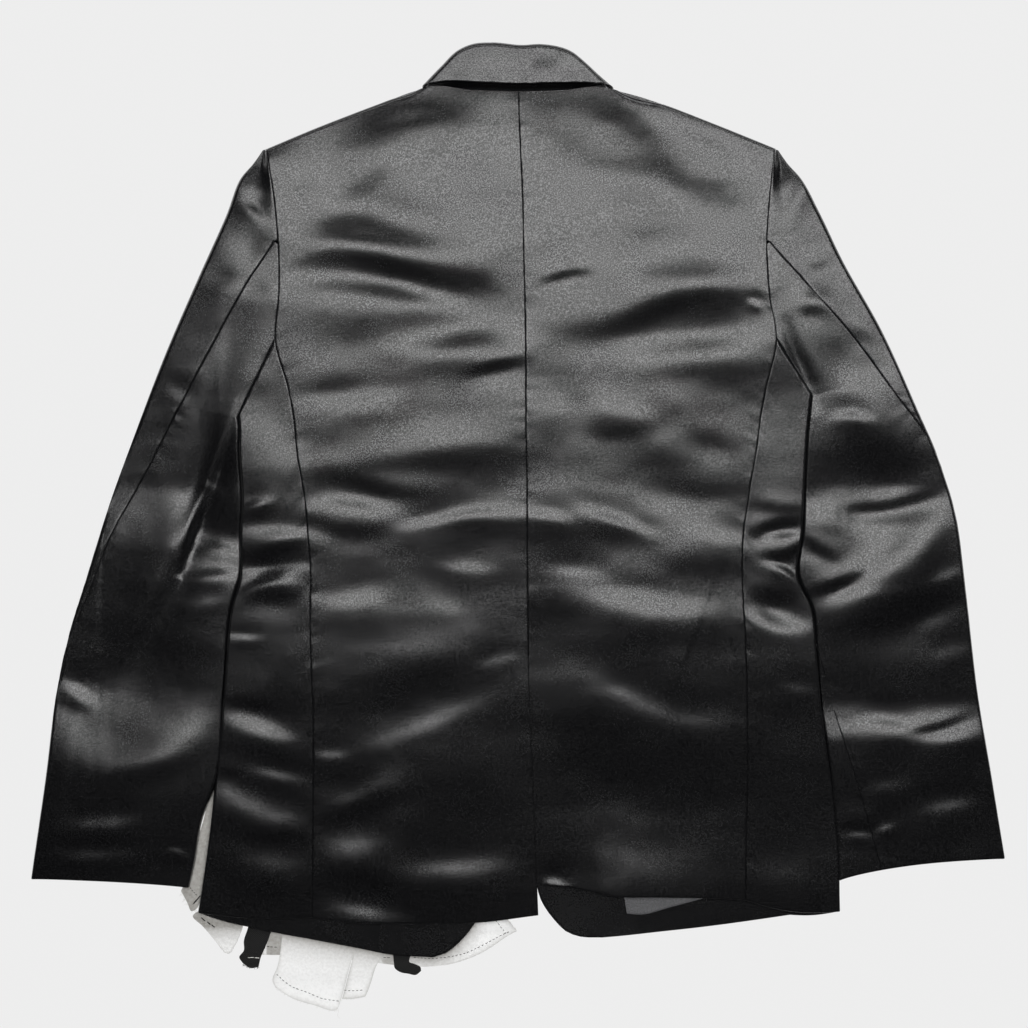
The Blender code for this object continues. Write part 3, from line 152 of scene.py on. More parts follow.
# Stepped creases: the cloth falls away on the left of each path, read in its own direction.
# A negative height turns the fall round. Columns: path, half width, height
steppedCreases = {
    "body": (
        # Left back, from the shoulder to the waist
        (((-150, 340), (-104, 360), (-48, 366)), 11, 1.7),
        (((-196, 264), (-160, 284), (-128, 306), (-96, 332), (-66, 340)), 14, -2.0),
        (((-208, 243), (-150, 258), (-95, 250), (-36, 236)), 13, 1.4),
        (((-204, 229), (-147, 240), (-96, 224), (-62, 214), (-6, 217)), 11, -1.9),
        (((-208, 212), (-140, 212), (-70, 196), (2, 188)), 9, 1.1),
        (((-218, 188), (-165, 172), (-110, 158), (-50, 160)), 20, -1.7),
        (((-204, 119), (-172, 124), (-130, 131)), 10, -0.7),
        (((-104, 148), (-40, 164), (8, 178)), 14, 1.5),
        (((-48, 134), (-20, 142), (9, 147)), 5, -1.3),
        (((-196, 111), (-150, 110), (-104, 117)), 9, 1.1),
        (((-176, 58), (-90, 70), (6, 77)), 12, 1.5),
        (((-190, 42), (-160, 44), (-118, 32), (-52, 29)), 9, -1.6),
        (((-186, 23), (-150, 22), (-104, 13)), 8, 1.2),
        # Left back, below the waist
        (((-186, 6), (-145, -3), (-100, 3)), 7, -1.0),
        (((-118, -2), (-79, 6), (-49, 13), (8, 14)), 5, 1.1),
        (((-72, -32), (-22, -36)), 6, 0.7),
        (((-172, -64), (-137, -61), (-112, -52)), 9, 0.8),
        (((-84, -60), (-44, -77)), 10, 0.6),
        (((-176, -192), (-119, -138), (-70, -118)), 26, -2.2),
        (((-38, -121), (-2, -112)), 6, 0.8),
        (((-170, -201), (-101, -181), (-50, -159), (8, -131)), 9, 0.9),
        (((-180, -199), (-152, -199)), 5, 0.8),
        (((-176, -246), (-137, -232), (-112, -213)), 9, 1.4),
        (((-172, -260), (-137, -247), (-92, -228)), 8, -1.1),
        (((-180, -272), (-145, -280), (-110, -266)), 17, 3.2),
        (((-162, -306), (-112, -312)), 10, -1.1),
        (((-126, -303), (-79, -300), (-42, -298), (2, -293)), 13, 3.0),
        (((-178, -326), (-137, -337), (-90, -343)), 10, 2.3),
        (((-80, -240), (-30, -232), (6, -236)), 24, -2.0),
        # Left side panel
        (((-246, 78), (-196, 84)), 27, 2.2),
        (((-248, 14), (-232, 22), (-214, 25)), 4, 1.3),
        (((-244, -2), (-182, -6)), 6, 1.4),
        (((-247, -29), (-220, -22), (-184, -9)), 6, -1.5),
        (((-248, -36), (-229, -38), (-183, -33)), 4.5, 1.4),
        (((-252, -66), (-238, -52), (-218, -45), (-190, -47)), 5, 2.1),
        (((-240, -64), (-215, -60), (-188, -64)), 8, -1.6),
        (((-259, -95), (-230, -96)), 3, 0.8),
        (((-263, -162), (-229, -175), (-190, -190)), 11, 2.9),
        (((-262, -152), (-240, -154), (-214, -158)), 5, -1.2),
        (((-242, -208), (-211, -217), (-181, -222)), 7, 1.9),
        (((-271, -224), (-240, -243), (-184, -260)), 14, 3.2),
        (((-268, -214), (-246, -216)), 5, -1.0),
        (((-254, -285), (-218, -294), (-181, -297)), 13, 2.4),
        (((-240, -271), (-190, -272)), 7, -1.2),
        # Right back, from the shoulder to the waist
        (((12, 374), (98, 356), (134, 310), (220, 276)), 17, 2.6),
        (((92, 374), (150, 347), (208, 322)), 8, -1.1),
        (((20, 344), (96, 318), (190, 300)), 18, 2.1),
        (((100, 211), (160, 222), (209, 226)), 16, 1.8),
        (((16, 213), (40, 222), (66, 225)), 4, -0.9),
        (((199, 199), (208, 198), (216, 193)), 3, 0.9),
        (((12, 171), (98, 180), (134, 197), (220, 200)), 11, -1.9),
        (((126, 160), (175, 163), (226, 170)), 13, 1.6),
        (((62, 108), (90, 106), (120, 99)), 9, 1.1),
        (((58, 86), (90, 84), (118, 81)), 9, -1.3),
        (((144, 83), (168, 78), (194, 68)), 10, -1.2),
        (((8, 98), (36, 106), (64, 98)), 10, 0.8),
        (((118, 40), (160, 34), (205, 35)), 11, -1.7),
        # Right back, below the waist
        (((4, 15), (26, 12), (50, 7)), 5, 0.9),
        (((54, 17), (90, 7), (122, -7)), 5.5, 1.5),
        (((152, 0), (203, -13)), 8, 1.2),
        (((104, -25), (150, -32), (203, -37)), 13, -2.1),
        (((26, -36), (74, -41)), 6, 0.8),
        (((18, -44), (75, -57), (112, -66), (200, -66)), 11, 1.8),
        (((40, -76), (120, -96), (204, -94)), 18, -2.4),
        (((34, -122), (75, -134), (112, -156), (148, -167), (202, -170)), 12, 1.9),
        (((8, -136), (60, -172), (110, -204), (170, -214)), 38, -4.4),
        (((62, -238), (116, -252)), 12, 0.8),
        (((74, -284), (136, -313)), 22, 1.1),
        (((20, -309), (31, -311), (44, -316)), 5, 1.6),
        # Right side panel
        (((203, 21), (230, 17), (254, 18)), 5, -1.0),
        (((202, -7), (222, 1), (250, 7)), 5, -1.8),
        (((216, -6), (248, -5)), 5, 1.5),
        (((214, -25), (236, -24), (254, -12)), 5, -1.6),
        (((214, -30), (236, -37), (250, -51)), 4, 2.0),
        (((204, -53), (225, -60), (254, -77)), 9, -2.0),
        (((204, -65), (229, -84), (260, -84)), 9, 2.3),
        (((232, -138), (258, -142)), 6, 0.9),
        (((200, -301), (256, -303)), 14, 1.3),
    ),
    "left": (
        (((-243, 286), (-230, 279), (-215, 267)), 5, 1.7),
        (((-276, 240), (-240, 238), (-214, 244)), 9, -1.0),
        (((-275, 217), (-260, 214), (-240, 214)), 5, 1.2),
        (((-244, 210), (-230, 206), (-212, 198)), 5, 1.1),
        (((-298, 164), (-266, 155)), 6, 0.8),
        (((-310, 151), (-277, 140)), 6, 0.8),
        (((-311, 124), (-291, 115)), 5, 0.7),
        (((-354, -136), (-338, -104), (-305, -41), (-283, 8)), 9, -2.6),
        (((-268, 47), (-251, 49)), 3, 1.0),
        (((-275, 41), (-258, 32)), 3, 1.2),
        (((-298, -25), (-282, -20), (-262, -14)), 5, 1.5),
        (((-298, -42), (-270, -40), (-247, -37)), 5, 1.5),
        (((-300, -66), (-258, -62)), 6, 0.8),
        (((-430, -172), (-372, -186), (-325, -180), (-250, -160)), 36, 8.5),
        (((-404, -134), (-392, -141), (-374, -150)), 6, 1.4),
        (((-403, -150), (-376, -164)), 6, -0.6),
        (((-404, -212), (-370, -222), (-320, -216), (-268, -190)), 10, -1.4),
        (((-404, -260), (-370, -260), (-330, -254)), 8, 2.2),
        (((-415, -287), (-380, -287), (-336, -284)), 7, 1.8),
        (((-311, -284), (-300, -283), (-288, -291)), 3, 1.0),
    ),
    "right": (
        (((248, 305), (240, 288), (234, 266)), 5, -1.4),
        (((247, 227), (265, 231), (287, 237)), 8, -2.0),
        (((239, 190), (257, 192), (276, 192)), 6, -1.4),
        (((289, 177), (307, 168)), 6, -0.8),
        (((234, 162), (246, 146), (255, 126), (259, 104)), 5, -3.0),
        (((270, 96), (290, 100), (312, 95)), 5, 1.3),
        (((250, 62), (305, 64), (366, 38)), 24, -4.4),
        (((280, 17), (323, 19), (372, 33)), 7, -2.4),
        (((248, -8), (276, -26)), 5, -1.4),
        (((250, -58), (278, -51), (306, -36)), 5, -1.8),
        (((248, -72), (294, -57), (331, -24), (368, 16)), 16, 3.8),
        (((262, -88), (313, -82), (390, -50)), 15, -3.0),
        (((360, -48), (389, -36)), 6, 0.9),
        (((352, -86), (386, -71)), 8, 1.0),
        (((362, -114), (398, -104)), 8, 0.9),
        (((300, -170), (325, -171), (350, -178)), 7, 1.3),
        (((344, -190), (375, -186), (402, -176)), 10, 1.4),
        (((342, -179), (372, -174), (400, -163)), 4, -1.1),
        (((304, -230), (340, -224)), 7, 1.2),
        (((350, -247), (380, -243), (410, -239)), 9, 1.8),
        (((284, -262), (310, -266)), 7, -1.3),
        (((284, -271), (300, -269), (316, -272)), 4, 1.4),
        (((313, -267), (330, -261)), 4, 1.0),
    ),
}


def smooth(xs, ys, at):
    # Cubic through the points, with each slope taken from the neighbouring points
    xs, ys, at = np.asarray(xs, float), np.asarray(ys, float), np.asarray(at, float)
    slope = np.gradient(ys, xs)
    i = np.clip(np.searchsorted(xs, at) - 1, 0, len(xs) - 2)
    span = xs[i + 1] - xs[i]
    t = np.clip((at - xs[i]) / span, 0.0, 1.0)
    start = (2 * t**3 - 3 * t**2 + 1) * ys[i] + (t**3 - 2 * t**2 + t) * span * slope[i]
    stop = (3 * t**2 - 2 * t**3) * ys[i + 1] + (t**3 - t**2) * span * slope[i + 1]
    return start + stop


def readTable(columns, rows, name, at):
    # A named column of a table, read at positions along its first column
    data = np.array(rows, float)
    return smooth(data[:, 0], data[:, columns.index(name)], at)


def bodyAt(name, y):
    # One of the body's outlines or its rise, at the level y
    return readTable(bodyColumns, bodyTable, name, y)


def lengthsAlong(line):
    # Distance of each point of a line from its start
    return np.concatenate(([0.0], np.cumsum(np.linalg.norm(np.diff(line, axis=0), axis=1))))


def curve(points, steps):
    # Points along a smooth curve, at shares of its length
    p = np.array(points, float)
    along = lengthsAlong(p)
    at = np.asarray(steps) * along[-1]
    return np.stack([smooth(along, p[:, i], at) for i in range(p.shape[1])], axis=-1)


def alongLine(line, steps):
    # Points at shares of the length of a line that is already fine
    along = lengthsAlong(line)
    at = np.asarray(steps) * along[-1]
    return np.stack([np.interp(at, along, line[:, i]) for i in range(line.shape[1])], axis=-1)


def crowded(count, length, start=True):
    # Shares from 0 to 1, close together by the ends that are rolled
    first = nearEdge / length if start else np.array((0.0,))
    last = 1 - nearEdge[::-1] / length
    middle = np.linspace(first[-1], last[0], count + 2)[1:-1]
    return np.concatenate([first, middle, last])


def coonsPatch(top, bottom, left, right, across, down):
    # Grid of plan points that fills four edge lines, at shares across and down
    u = across[None, :, None]
    v = down[:, None, None]
    ruled = (1 - u) * left[:, None] + u * right[:, None] + (1 - v) * top[None] + v * bottom[None]
    corners = (1 - u) * (1 - v) * top[0] + u * (1 - v) * top[-1]
    corners = corners + (1 - u) * v * bottom[0] + u * v * bottom[-1]
    return ruled - corners


def patchBetween(left, right, across, down, top=(), bottom=()):
    # Plan points between two edge lines, whose ends are joined by curves through the points given
    topLine = curve([tuple(left[0]), *top, tuple(right[0])], across)
    bottomLine = curve([tuple(left[-1]), *bottom, tuple(right[-1])], across)
    return coonsPatch(topLine, bottomLine, left, right, across, down)


def atLevels(plan, levels):
    # The same plan points at each of some levels
    return [np.concatenate([plan, level[..., None]], axis=-1) for level in levels]


def quarter(t):
    # Height of a quarter circle of radius 1, at t from its foot
    return np.sqrt(1 - (1 - np.clip(t, 0, 1)) ** 2)


def swell(t):
    # Height of a parabola that is level at 1, at t from its foot
    return 1 - (1 - np.clip(t, 0, 1)) ** 2


def ease(t):
    # Smooth step from 0 to 1
    t = np.clip(t, 0, 1)
    return t * t * (3 - 2 * t)


# Points of the lattice of random heights, and the place of the drawing's middle on it
latticeSize = 160
latticeShift = (80.37, 80.61)


def unevenness(x, y, step, seed):
    # Random heights on a lattice of the given step, joined by smooth steps in both directions
    grid = np.random.default_rng(seed).uniform(-1, 1, (latticeSize, latticeSize))
    across, up = x / step + latticeShift[0], y / step + latticeShift[1]
    i, j = np.floor(across).astype(int), np.floor(up).astype(int)
    u, v = ease(across - i), ease(up - j)
    i, j = i % (latticeSize - 1), j % (latticeSize - 1)
    low = grid[i, j] * (1 - u) + grid[i + 1, j] * u
    high = grid[i, j + 1] * (1 - u) + grid[i + 1, j + 1] * u
    return low * (1 - v) + high * v


def broadRelief(place, x, y):
    # Sum of soft ridges and troughs, each a bell across its line that fades at its ends
    total = np.zeros_like(x)
    for cx, cy, length, turn, width, height in broadFolds[place]:
        a = math.radians(turn)
        along = ((x - cx) * math.cos(a) + (y - cy) * math.sin(a)) / (length / 2)
        across = ((y - cy) * math.cos(a) - (x - cx) * math.sin(a)) / width
        total = total + height * np.exp(-across**2) * (1 - np.clip(along**2, 0, 1)) ** 2
    return total


def beside(path, x, y):
    # Signed distance from a smooth path, positive on its left, and the share of it passed
    line = curve(path, np.linspace(0, 1, 5 * (len(path) - 1) + 1))
    along = lengthsAlong(line)
    best = np.full(x.shape, np.inf)
    signed, passed = np.zeros(x.shape), np.zeros(x.shape)
    for (x0, y0), (x1, y1), begun in zip(line[:-1], line[1:], along[:-1]):
        dx, dy = x1 - x0, y1 - y0
        length = math.hypot(dx, dy)
        t = np.clip(((x - x0) * dx + (y - y0) * dy) / length**2, 0, 1)
        away = np.hypot(x - x0 - t * dx, y - y0 - t * dy)
        side = np.sign(dx * (y - y0) - dy * (x - x0))
        nearer = away < best
        best = np.where(nearer, away, best)
        signed = np.where(nearer, away * side, signed)
        passed = np.where(nearer, (begun + t * length) / along[-1], passed)
    return signed, passed


# How far a crease runs on past its path, and how far from it the fall has died out, as
# parts of its first or last stretch and of its half width
creaseEnds = {"past": 0.3, "bell": 2.6, "room": 5.5}


def steppedRelief(rows, x, y):
    # Each crease is a step, the hyperbolic tangent of the distance, that dies out in a bell
    total = np.zeros(x.shape)
    for path, width, height in rows:
        points = np.array(path, float)
        points[0] += creaseEnds["past"] * (points[0] - points[1])
        points[-1] += creaseEnds["past"] * (points[-1] - points[-2])
        room = creaseEnds["room"] * width
        low, high = points.min(axis=0) - room, points.max(axis=0) + room
        near = (x > low[0]) & (x < high[0]) & (y > low[1]) & (y < high[1])
        if not near.any():
            continue
        signed, passed = beside(points, x[near], y[near])
        fade = np.sin(math.pi * passed) ** 1.5
        bell = np.exp(-((signed / (creaseEnds["bell"] * width)) ** 2))
        total[near] -= creaseShare * height * np.tanh(signed / width) * bell * fade
    return total


# Where the left sleeve's upper layer ends beside the body and the layer below shows, from
# the underarm down: the edge's path, and the levels between which the layer below is lower
sleeveRecess = {
    "edge": ((-296, -34), (-283, 6), (-268, 44), (-258, 72), (-245, 106), (-236, 136)),
    "steep": 11.0, "above": 128.0, "below": -62.0, "fadeAbove": 22.0, "fadeBelow": 60.0,
}
recessLevels = (
    (-110, 4.9), (-42, 6.0), (-34, 5.2), (-17, 6.0), (-10, 5.0), (40, 6.6), (49, 5.2), (110, 8.2),
    (140, 11.0),
)
recessSkew = 0.35
recessCrease = 0.4


def recess(x, y):
    # 1 where the layer below shows: a smooth step across the edge, faded at its two ends
    signed, passed = beside(sleeveRecess["edge"], x, y)
    across = ease(-signed / sleeveRecess["steep"] + 0.5)
    above = ease((sleeveRecess["above"] - y) / sleeveRecess["fadeAbove"])
    below = ease((y - sleeveRecess["below"]) / sleeveRecess["fadeBelow"])
    return across * above * below


# Broad slopes of the sleeves, eased to 0 around a box: x0, x1, y0, y1, ramp, the slopes in x
# and y, and the place where each is level
broadSlopes = {
    "body": (),
    "left": (
        (-470, -262, -128, 150, 80, 0.058, 0.0, -262, 0),
        (-470, -262, 40, 230, 60, 0.0, 0.03, 0, 230),
    ),
    "right": (
        (230, 420, 40, 120, 40, 0.0, 0.045, 0, 120),
        (240, 460, -150, -60, 40, 0.0, 0.05, 0, -60),
    ),
}
# The back right of the vent swells above the opening and sinks below it
ventSlope = (
    (-420, -1.2), (-345, -2.0), (-300, -3.0), (-250, -3.4), (-180, -0.8), (-120, 2.2), (-60, 0.6),
    (0, 0.0), (200, 0.0), (400, 0.0),
)
ventWidth = {"from": 18, "ramp": 46}


def slopes(place, x, y):
    # Each slope is a plane, eased to 0 around its box
    total = np.zeros(x.shape)
    for x0, x1, y0, y1, ramp, inX, inY, levelX, levelY in broadSlopes[place]:
        across = ease((x - x0) / ramp + 1) * ease((x1 - x) / ramp + 1)
        up = ease((y - y0) / ramp + 1) * ease((y1 - y) / ramp + 1)
        total += across * up * (inX * np.minimum(x - levelX, 0) + inY * np.minimum(y - levelY, 0))
    if place == "body":
        share = ease((x - ventWidth["from"]) / ventWidth["ramp"])
        total += share * readTable(("y", "level"), ventSlope, "level", y)
    return total


# The cloth's own waves, in millimetres; the widest is higher by the shoulders
waveHeights = {"wide": 0.9, "shoulder": 1.0, "middle": 0.3, "fine": 0.05, "long": 0.28, "short": 0.07}
shoulderWaves = {"from": 190, "over": 110}
underHeights = {"wide": 0.8, "fine": 0.3}


def waves(x, y):
    # Waves of three widths, and two that run on along the weft
    near = ease((y - shoulderWaves["from"]) / shoulderWaves["over"])
    wide = (waveHeights["wide"] + waveHeights["shoulder"] * near) * unevenness(x, y, 70, 3)
    middle = waveHeights["middle"] * unevenness(x, y, 31, 5)
    fine = waveHeights["fine"] * unevenness(x, y, 13, 8)
    long = waveHeights["long"] * unevenness(x / 3.4 + y * 0.08, y, 21, 15)
    short = waveHeights["short"] * unevenness(x / 3, y - x * 0.06, 10.5, 17)
    return wide + middle + fine + long + short


def relief(place, x, y):
    # Everything that departs from the plain form of the upper side
    creases = broadShare * broadRelief(place, x, y) + steppedRelief(steppedCreases[place], x, y)
    return creases + slopes(place, x, y) + waves(x, y)


def underRelief(x, y):
    # Shallow hollows of the side that lies on the floor: a squared wave and a finer one
    wide = 0.5 + 0.5 * unevenness(x, y * 2.2, 70, 11)
    return underHeights["wide"] * wide**2 + underHeights["fine"] * (0.5 + 0.5 * unevenness(x, y, 26, 13))


liftColumns = ("x0", "x1", "y0", "y1", "left", "right")
liftRamp = 60.0
liftBoxes = {
    "lapels": (-145, 145, 70, 400, 2.0, 2.0),
    "buttons": (-12, 26, -75, 60, 2.95, 0.0),
    "flap left": (-300, -115, -180, -110, 1.6, 0.0),
    "flap right": (115, 300, -180, -110, 0.0, 1.6),
    "hem patches": (-340, 60, -480, -318, hemLift, 0.0),
}
overlapBox = (-20, 30, -235, 110)


def within(box, x, y):
    # 1 inside a box of x0, x1, y0, y1, easing to 0 over the ramp around it
    across = ease((x - box[0]) / liftRamp + 1) * ease((box[1] - x) / liftRamp + 1)
    return across * ease((y - box[2]) / liftRamp + 1) * ease((box[3] - y) / liftRamp + 1)


def lift(side, x, y):
    # How far the pieces under a front hold it off the floor. The right front also lies on
    # the left one where they overlap.
    pick = liftColumns.index(side)
    held = np.max([row[pick] * within(row, x, y) for row in liftBoxes.values()], axis=0)
    if side == "right":
        onLeft = lift("left", x, y) + clothWall + layerGap
        held = np.maximum(held, onLeft * within(overlapBox, x, y))
    return held


def bodyPoint(x, y, face, inset=0.0, side=None):
    # A point of the body's cloth over the plan point (x, y): a low pillow with round folds at
    # its sides and shoulders, and the creases scaled by how far up the pillow it is
    rise = bodyAt("rise", y)
    middle = foldMiddle * rise
    left = x - bodyAt("left_fold", y)
    right = bodyAt("right_fold", y) - x
    fromSide = np.clip(np.minimum(left, right), 0, None)
    shoulderY = readTable(("x", "y"), shoulderLine, "y", x)
    fromShoulder = np.clip((shoulderY - y) * shoulderSlope, 0, None)
    reach = foldReach * (rise - middle)
    sideShare = np.clip(fromSide / reach, 0, 1)
    shoulderShare = np.clip(fromShoulder / reach, 0, 1)
    sideIn = fromSide - inset * sideShare
    shoulderIn = fromShoulder - inset * shoulderShare
    newX = x + inset * (1 - sideShare) * np.where(left < right, 1, -1)
    newY = y - inset * (1 - shoulderShare)
    if face == "top":
        inner = np.maximum(reach - inset, foldLeast)
        pillow = roundShare * quarter(sideIn / inner)
        pillow += (1 - roundShare) * swell(sideIn / pillowReach)
        shoulder = shoulderRound * quarter(shoulderIn / inner)
        shoulder += (1 - shoulderRound) * swell(shoulderIn / pillowReach)
        full = pillow * shoulder
        z = middle + faceGap / 2 + (rise - inset - middle + relief("body", x, y)) * full
    else:
        full = quarter(sideIn / underReach) * quarter(shoulderIn / underReach)
        z = (middle - faceGap / 2) * (1 - full) + (inset + lift(side, x, y) + underRelief(x, y)) * full
    return np.stack([newX, newY, z], axis=-1)


def bodyLayers(plan, face, side=None, insets=(0.0, clothWall)):
    # The two surfaces of a panel of the body over its plan points
    return [bodyPoint(plan[..., 0], plan[..., 1], face, inset, side) for inset in insets]


def rollEdges(outer, inner, edges, seed):
    # Turns the cloth's surface down by a quarter circle along the named edges and puckers it a
    # little beside them
    rows = np.linalg.norm(np.diff(outer, axis=1), axis=2)
    columns = np.linalg.norm(np.diff(outer, axis=0), axis=2)
    fromLeft = np.concatenate([np.zeros((len(outer), 1)), np.cumsum(rows, axis=1)], axis=1)
    fromTop = np.concatenate([np.zeros((1, outer.shape[1])), np.cumsum(columns, axis=0)], axis=0)
    distances = {
        "left": fromLeft, "right": fromLeft[:, -1:] - fromLeft,
        "top": fromTop, "bottom": fromTop[-1:] - fromTop,
    }
    inward = inner - outer
    inward /= np.linalg.norm(inward, axis=2, keepdims=True)
    for i, edge in enumerate(edges):
        distance = distances[edge]
        progress = fromTop if edge in ("left", "right") else fromLeft
        ripple = pucker["height"] * unevenness(progress, progress * 0, pucker["step"], seed + i)
        ripple = ripple * np.exp(-distance / pucker["reach"])
        down = rollDepth * (1 - quarter(distance / rollReach)) + ripple * ease(distance / rollReach)
        outer = outer + inward * down[..., None]
    return outer


def placed(points):
    # Millimetres of the drawing, as metres in the frame
    return points * metre + np.array((shift[0], shift[1], 0.0))


def wallMesh(name, outer, inner):
    # A closed wall between an outer and an inner grid of points
    rows, columns = outer.shape[:2]
    count = rows * columns
    points = placed(np.concatenate([outer.reshape(-1, 3), inner.reshape(-1, 3)]))
    at = np.arange(count).reshape(rows, columns)
    a, b, c, d = at[:-1, :-1], at[:-1, 1:], at[1:, 1:], at[1:, :-1]
    quads = np.stack([a, d, c, b], axis=-1).reshape(-1, 4)
    border = np.concatenate([at[0, :-1], at[:-1, -1], at[-1, :0:-1], at[:0:-1, 0]])
    following = np.roll(border, -1)
    rim = np.stack([border, following, following + count, border + count], axis=-1)
    return solidMesh(name, points, np.concatenate([quads, quads[:, ::-1] + count, rim]))


def solidMesh(name, points, quads):
    # A mesh of quads whose faces look outwards
    p, q, r, s = (points[quads[:, i]] for i in range(4))
    volume = np.sum(p * np.cross(q, r)) + np.sum(p * np.cross(r, s))
    if volume < 0:
        quads = quads[:, ::-1]
    mesh = bpy.data.meshes.new(name)
    mesh.vertices.add(len(points))
    mesh.vertices.foreach_set("co", points.astype(np.float32).ravel())
    mesh.loops.add(quads.size)
    mesh.loops.foreach_set("vertex_index", quads.astype(np.int32).ravel())
    mesh.polygons.add(len(quads))
    mesh.polygons.foreach_set("loop_start", np.arange(0, quads.size, 4, dtype=np.int32))
    mesh.update(calc_edges=True)
    mesh.validate()
    mesh.shade_smooth()
    mesh.set_sharp_from_angle(angle=math.radians(50))
    return mesh


def addPiece(name, mesh, material, node=None):
    # Links a piece that rides with the jacket, in place of its CAD node where it has one
    mesh.materials.append(material)
    piece = bpy.data.objects.new(name, mesh)
    bpy.context.scene.collection.objects.link(piece)
    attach(piece, "root")
    if node is not None:
        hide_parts(node)
    return piece


def clothPiece(name, outer, inner, material, slot, edges=()):
    # A sheet of cloth in place of the CAD node of the same name
    seed = sum(ord(letter) for letter in name)
    outer = rollEdges(outer, inner, edges, seed)
    piece = addPiece("cloth_" + name, wallMesh("cloth_" + name, outer, inner), material, name)
    return piece


def newMaterial(name, colour, roughness, settings=None):
    # A Principled material; settings are constants of its other sockets
    material = bpy.data.materials.new(name)
    material.use_nodes = True
    shader = material.node_tree.nodes["Principled BSDF"]
    shader.inputs["Base Color"].default_value = (*colour, 1)
    shader.inputs["Roughness"].default_value = roughness
    for socket, value in (settings or {}).items():
        shader.inputs[socket].default_value = value
    return material


def groupTree(name, inputs, outputs):
    # An empty node group with named inputs, each with its usual value, and named outputs
    tree = bpy.data.node_groups.new(name, "ShaderNodeTree")
    for label, value in inputs.items():
        kind = "NodeSocketVector" if value is None else "NodeSocketFloat"
        socket = tree.interface.new_socket(name=label, in_out="INPUT", socket_type=kind)
        if value is not None:
            socket.default_value = value
    for label in outputs:
        tree.interface.new_socket(name=label, in_out="OUTPUT", socket_type="NodeSocketFloat")
    return tree, tree.nodes.new("NodeGroupInput"), tree.nodes.new("NodeGroupOutput")


def mathNode(tree, operation, first, second=None, third=None, clamp=False):
    # One arithmetic step on sockets or plain numbers
    node = tree.nodes.new("ShaderNodeMath")
    node.use_clamp = clamp
    node.operation = operation
    for i, value in enumerate((first, second, third)):
        if value is None:
            continue
        if isinstance(value, (int, float)):
            node.inputs[i].default_value = value
        else:
            tree.links.new(value, node.inputs[i])
    return node.outputs[0]


def noiseNode(tree, place, scale, detail, roughness):
    # Noise at a scale that is a number or a socket
    node = tree.nodes.new("ShaderNodeTexNoise")
    node.inputs["Detail"].default_value = detail
    node.inputs["Roughness"].default_value = roughness
    tree.links.new(place, node.inputs["Vector"])
    if isinstance(scale, (int, float)):
        node.inputs["Scale"].default_value = scale
    else:
        tree.links.new(scale, node.inputs["Scale"])
    return node.outputs[0]


def satinGrainGroup():
    # Grain = fine noise; Slub = noise stretched along the weft; Bloom = broad noise
    inputs = {"Place": None, "Grain scale": 820.0}
    tree, given, made = groupTree("satin grain", inputs, ("Grain", "Slub", "Bloom"))
    place, scale = given.outputs["Place"], given.outputs["Grain scale"]
    grain = noiseNode(tree, place, scale, 3.0, 0.65)
    stretch = tree.nodes.new("ShaderNodeMapping")
    stretch.inputs["Scale"].default_value = (0.12, 1.0, 1.0)
    tree.links.new(place, stretch.inputs["Vector"])
    slub = noiseNode(tree, stretch.outputs[0], scale, 2.0, 0.5)
    bloom = noiseNode(tree, place, 22.0, 3.0, 0.5)
    for socket, value in (("Grain", grain), ("Slub", slub), ("Bloom", bloom)):
        tree.links.new(value, made.inputs[socket])
    return tree


def plainWeaveGroup():
    # Height = sin of x plus sin of y, crossed over in turn, roughened by noise
    inputs = {"Place": None, "Threads per metre": 1500.0}
    tree, given, made = groupTree("plain weave", inputs, ("Height", "Slub"))
    parts = tree.nodes.new("ShaderNodeSeparateXYZ")
    tree.links.new(given.outputs["Place"], parts.inputs[0])
    count = mathNode(tree, "MULTIPLY", given.outputs["Threads per metre"], math.pi)
    warp = mathNode(tree, "SINE", mathNode(tree, "MULTIPLY", parts.outputs[0], count))
    weft = mathNode(tree, "SINE", mathNode(tree, "MULTIPLY", parts.outputs[1], count))
    crossed = mathNode(tree, "MULTIPLY", warp, weft)
    over = mathNode(tree, "MULTIPLY_ADD", crossed, 0.5, 0.5)
    slub = noiseNode(tree, given.outputs["Place"], 420.0, 3.0, 0.6)
    tree.links.new(mathNode(tree, "MULTIPLY_ADD", slub, 0.6, over), made.inputs["Height"])
    tree.links.new(slub, made.inputs["Slub"])
    return tree


def useGroup(material, group):
    # Puts a node group in a material, fed with the object's own coordinates
    tree = material.node_tree
    node = tree.nodes.new("ShaderNodeGroup")
    node.node_tree = group
    place = tree.nodes.new("ShaderNodeTexCoord")
    tree.links.new(place.outputs["Object"], node.inputs["Place"])
    return node


def addBump(material, height, distance, strength):
    # Raises the surface by a height socket
    tree = material.node_tree
    bump = tree.nodes.new("ShaderNodeBump")
    bump.inputs["Distance"].default_value = distance
    bump.inputs["Strength"].default_value = strength
    tree.links.new(height, bump.inputs["Height"])
    tree.links.new(bump.outputs[0], tree.nodes["Principled BSDF"].inputs["Normal"])


def mixColours(tree, share, low, high):
    # A colour between two, by a share from 0 to 1
    node = tree.nodes.new("ShaderNodeMix")
    node.data_type = "RGBA"
    node.clamp_factor = True
    node.inputs["A"].default_value = (*low, 1)
    node.inputs["B"].default_value = (*high, 1)
    tree.links.new(share, node.inputs["Factor"])
    return node.outputs["Result"]


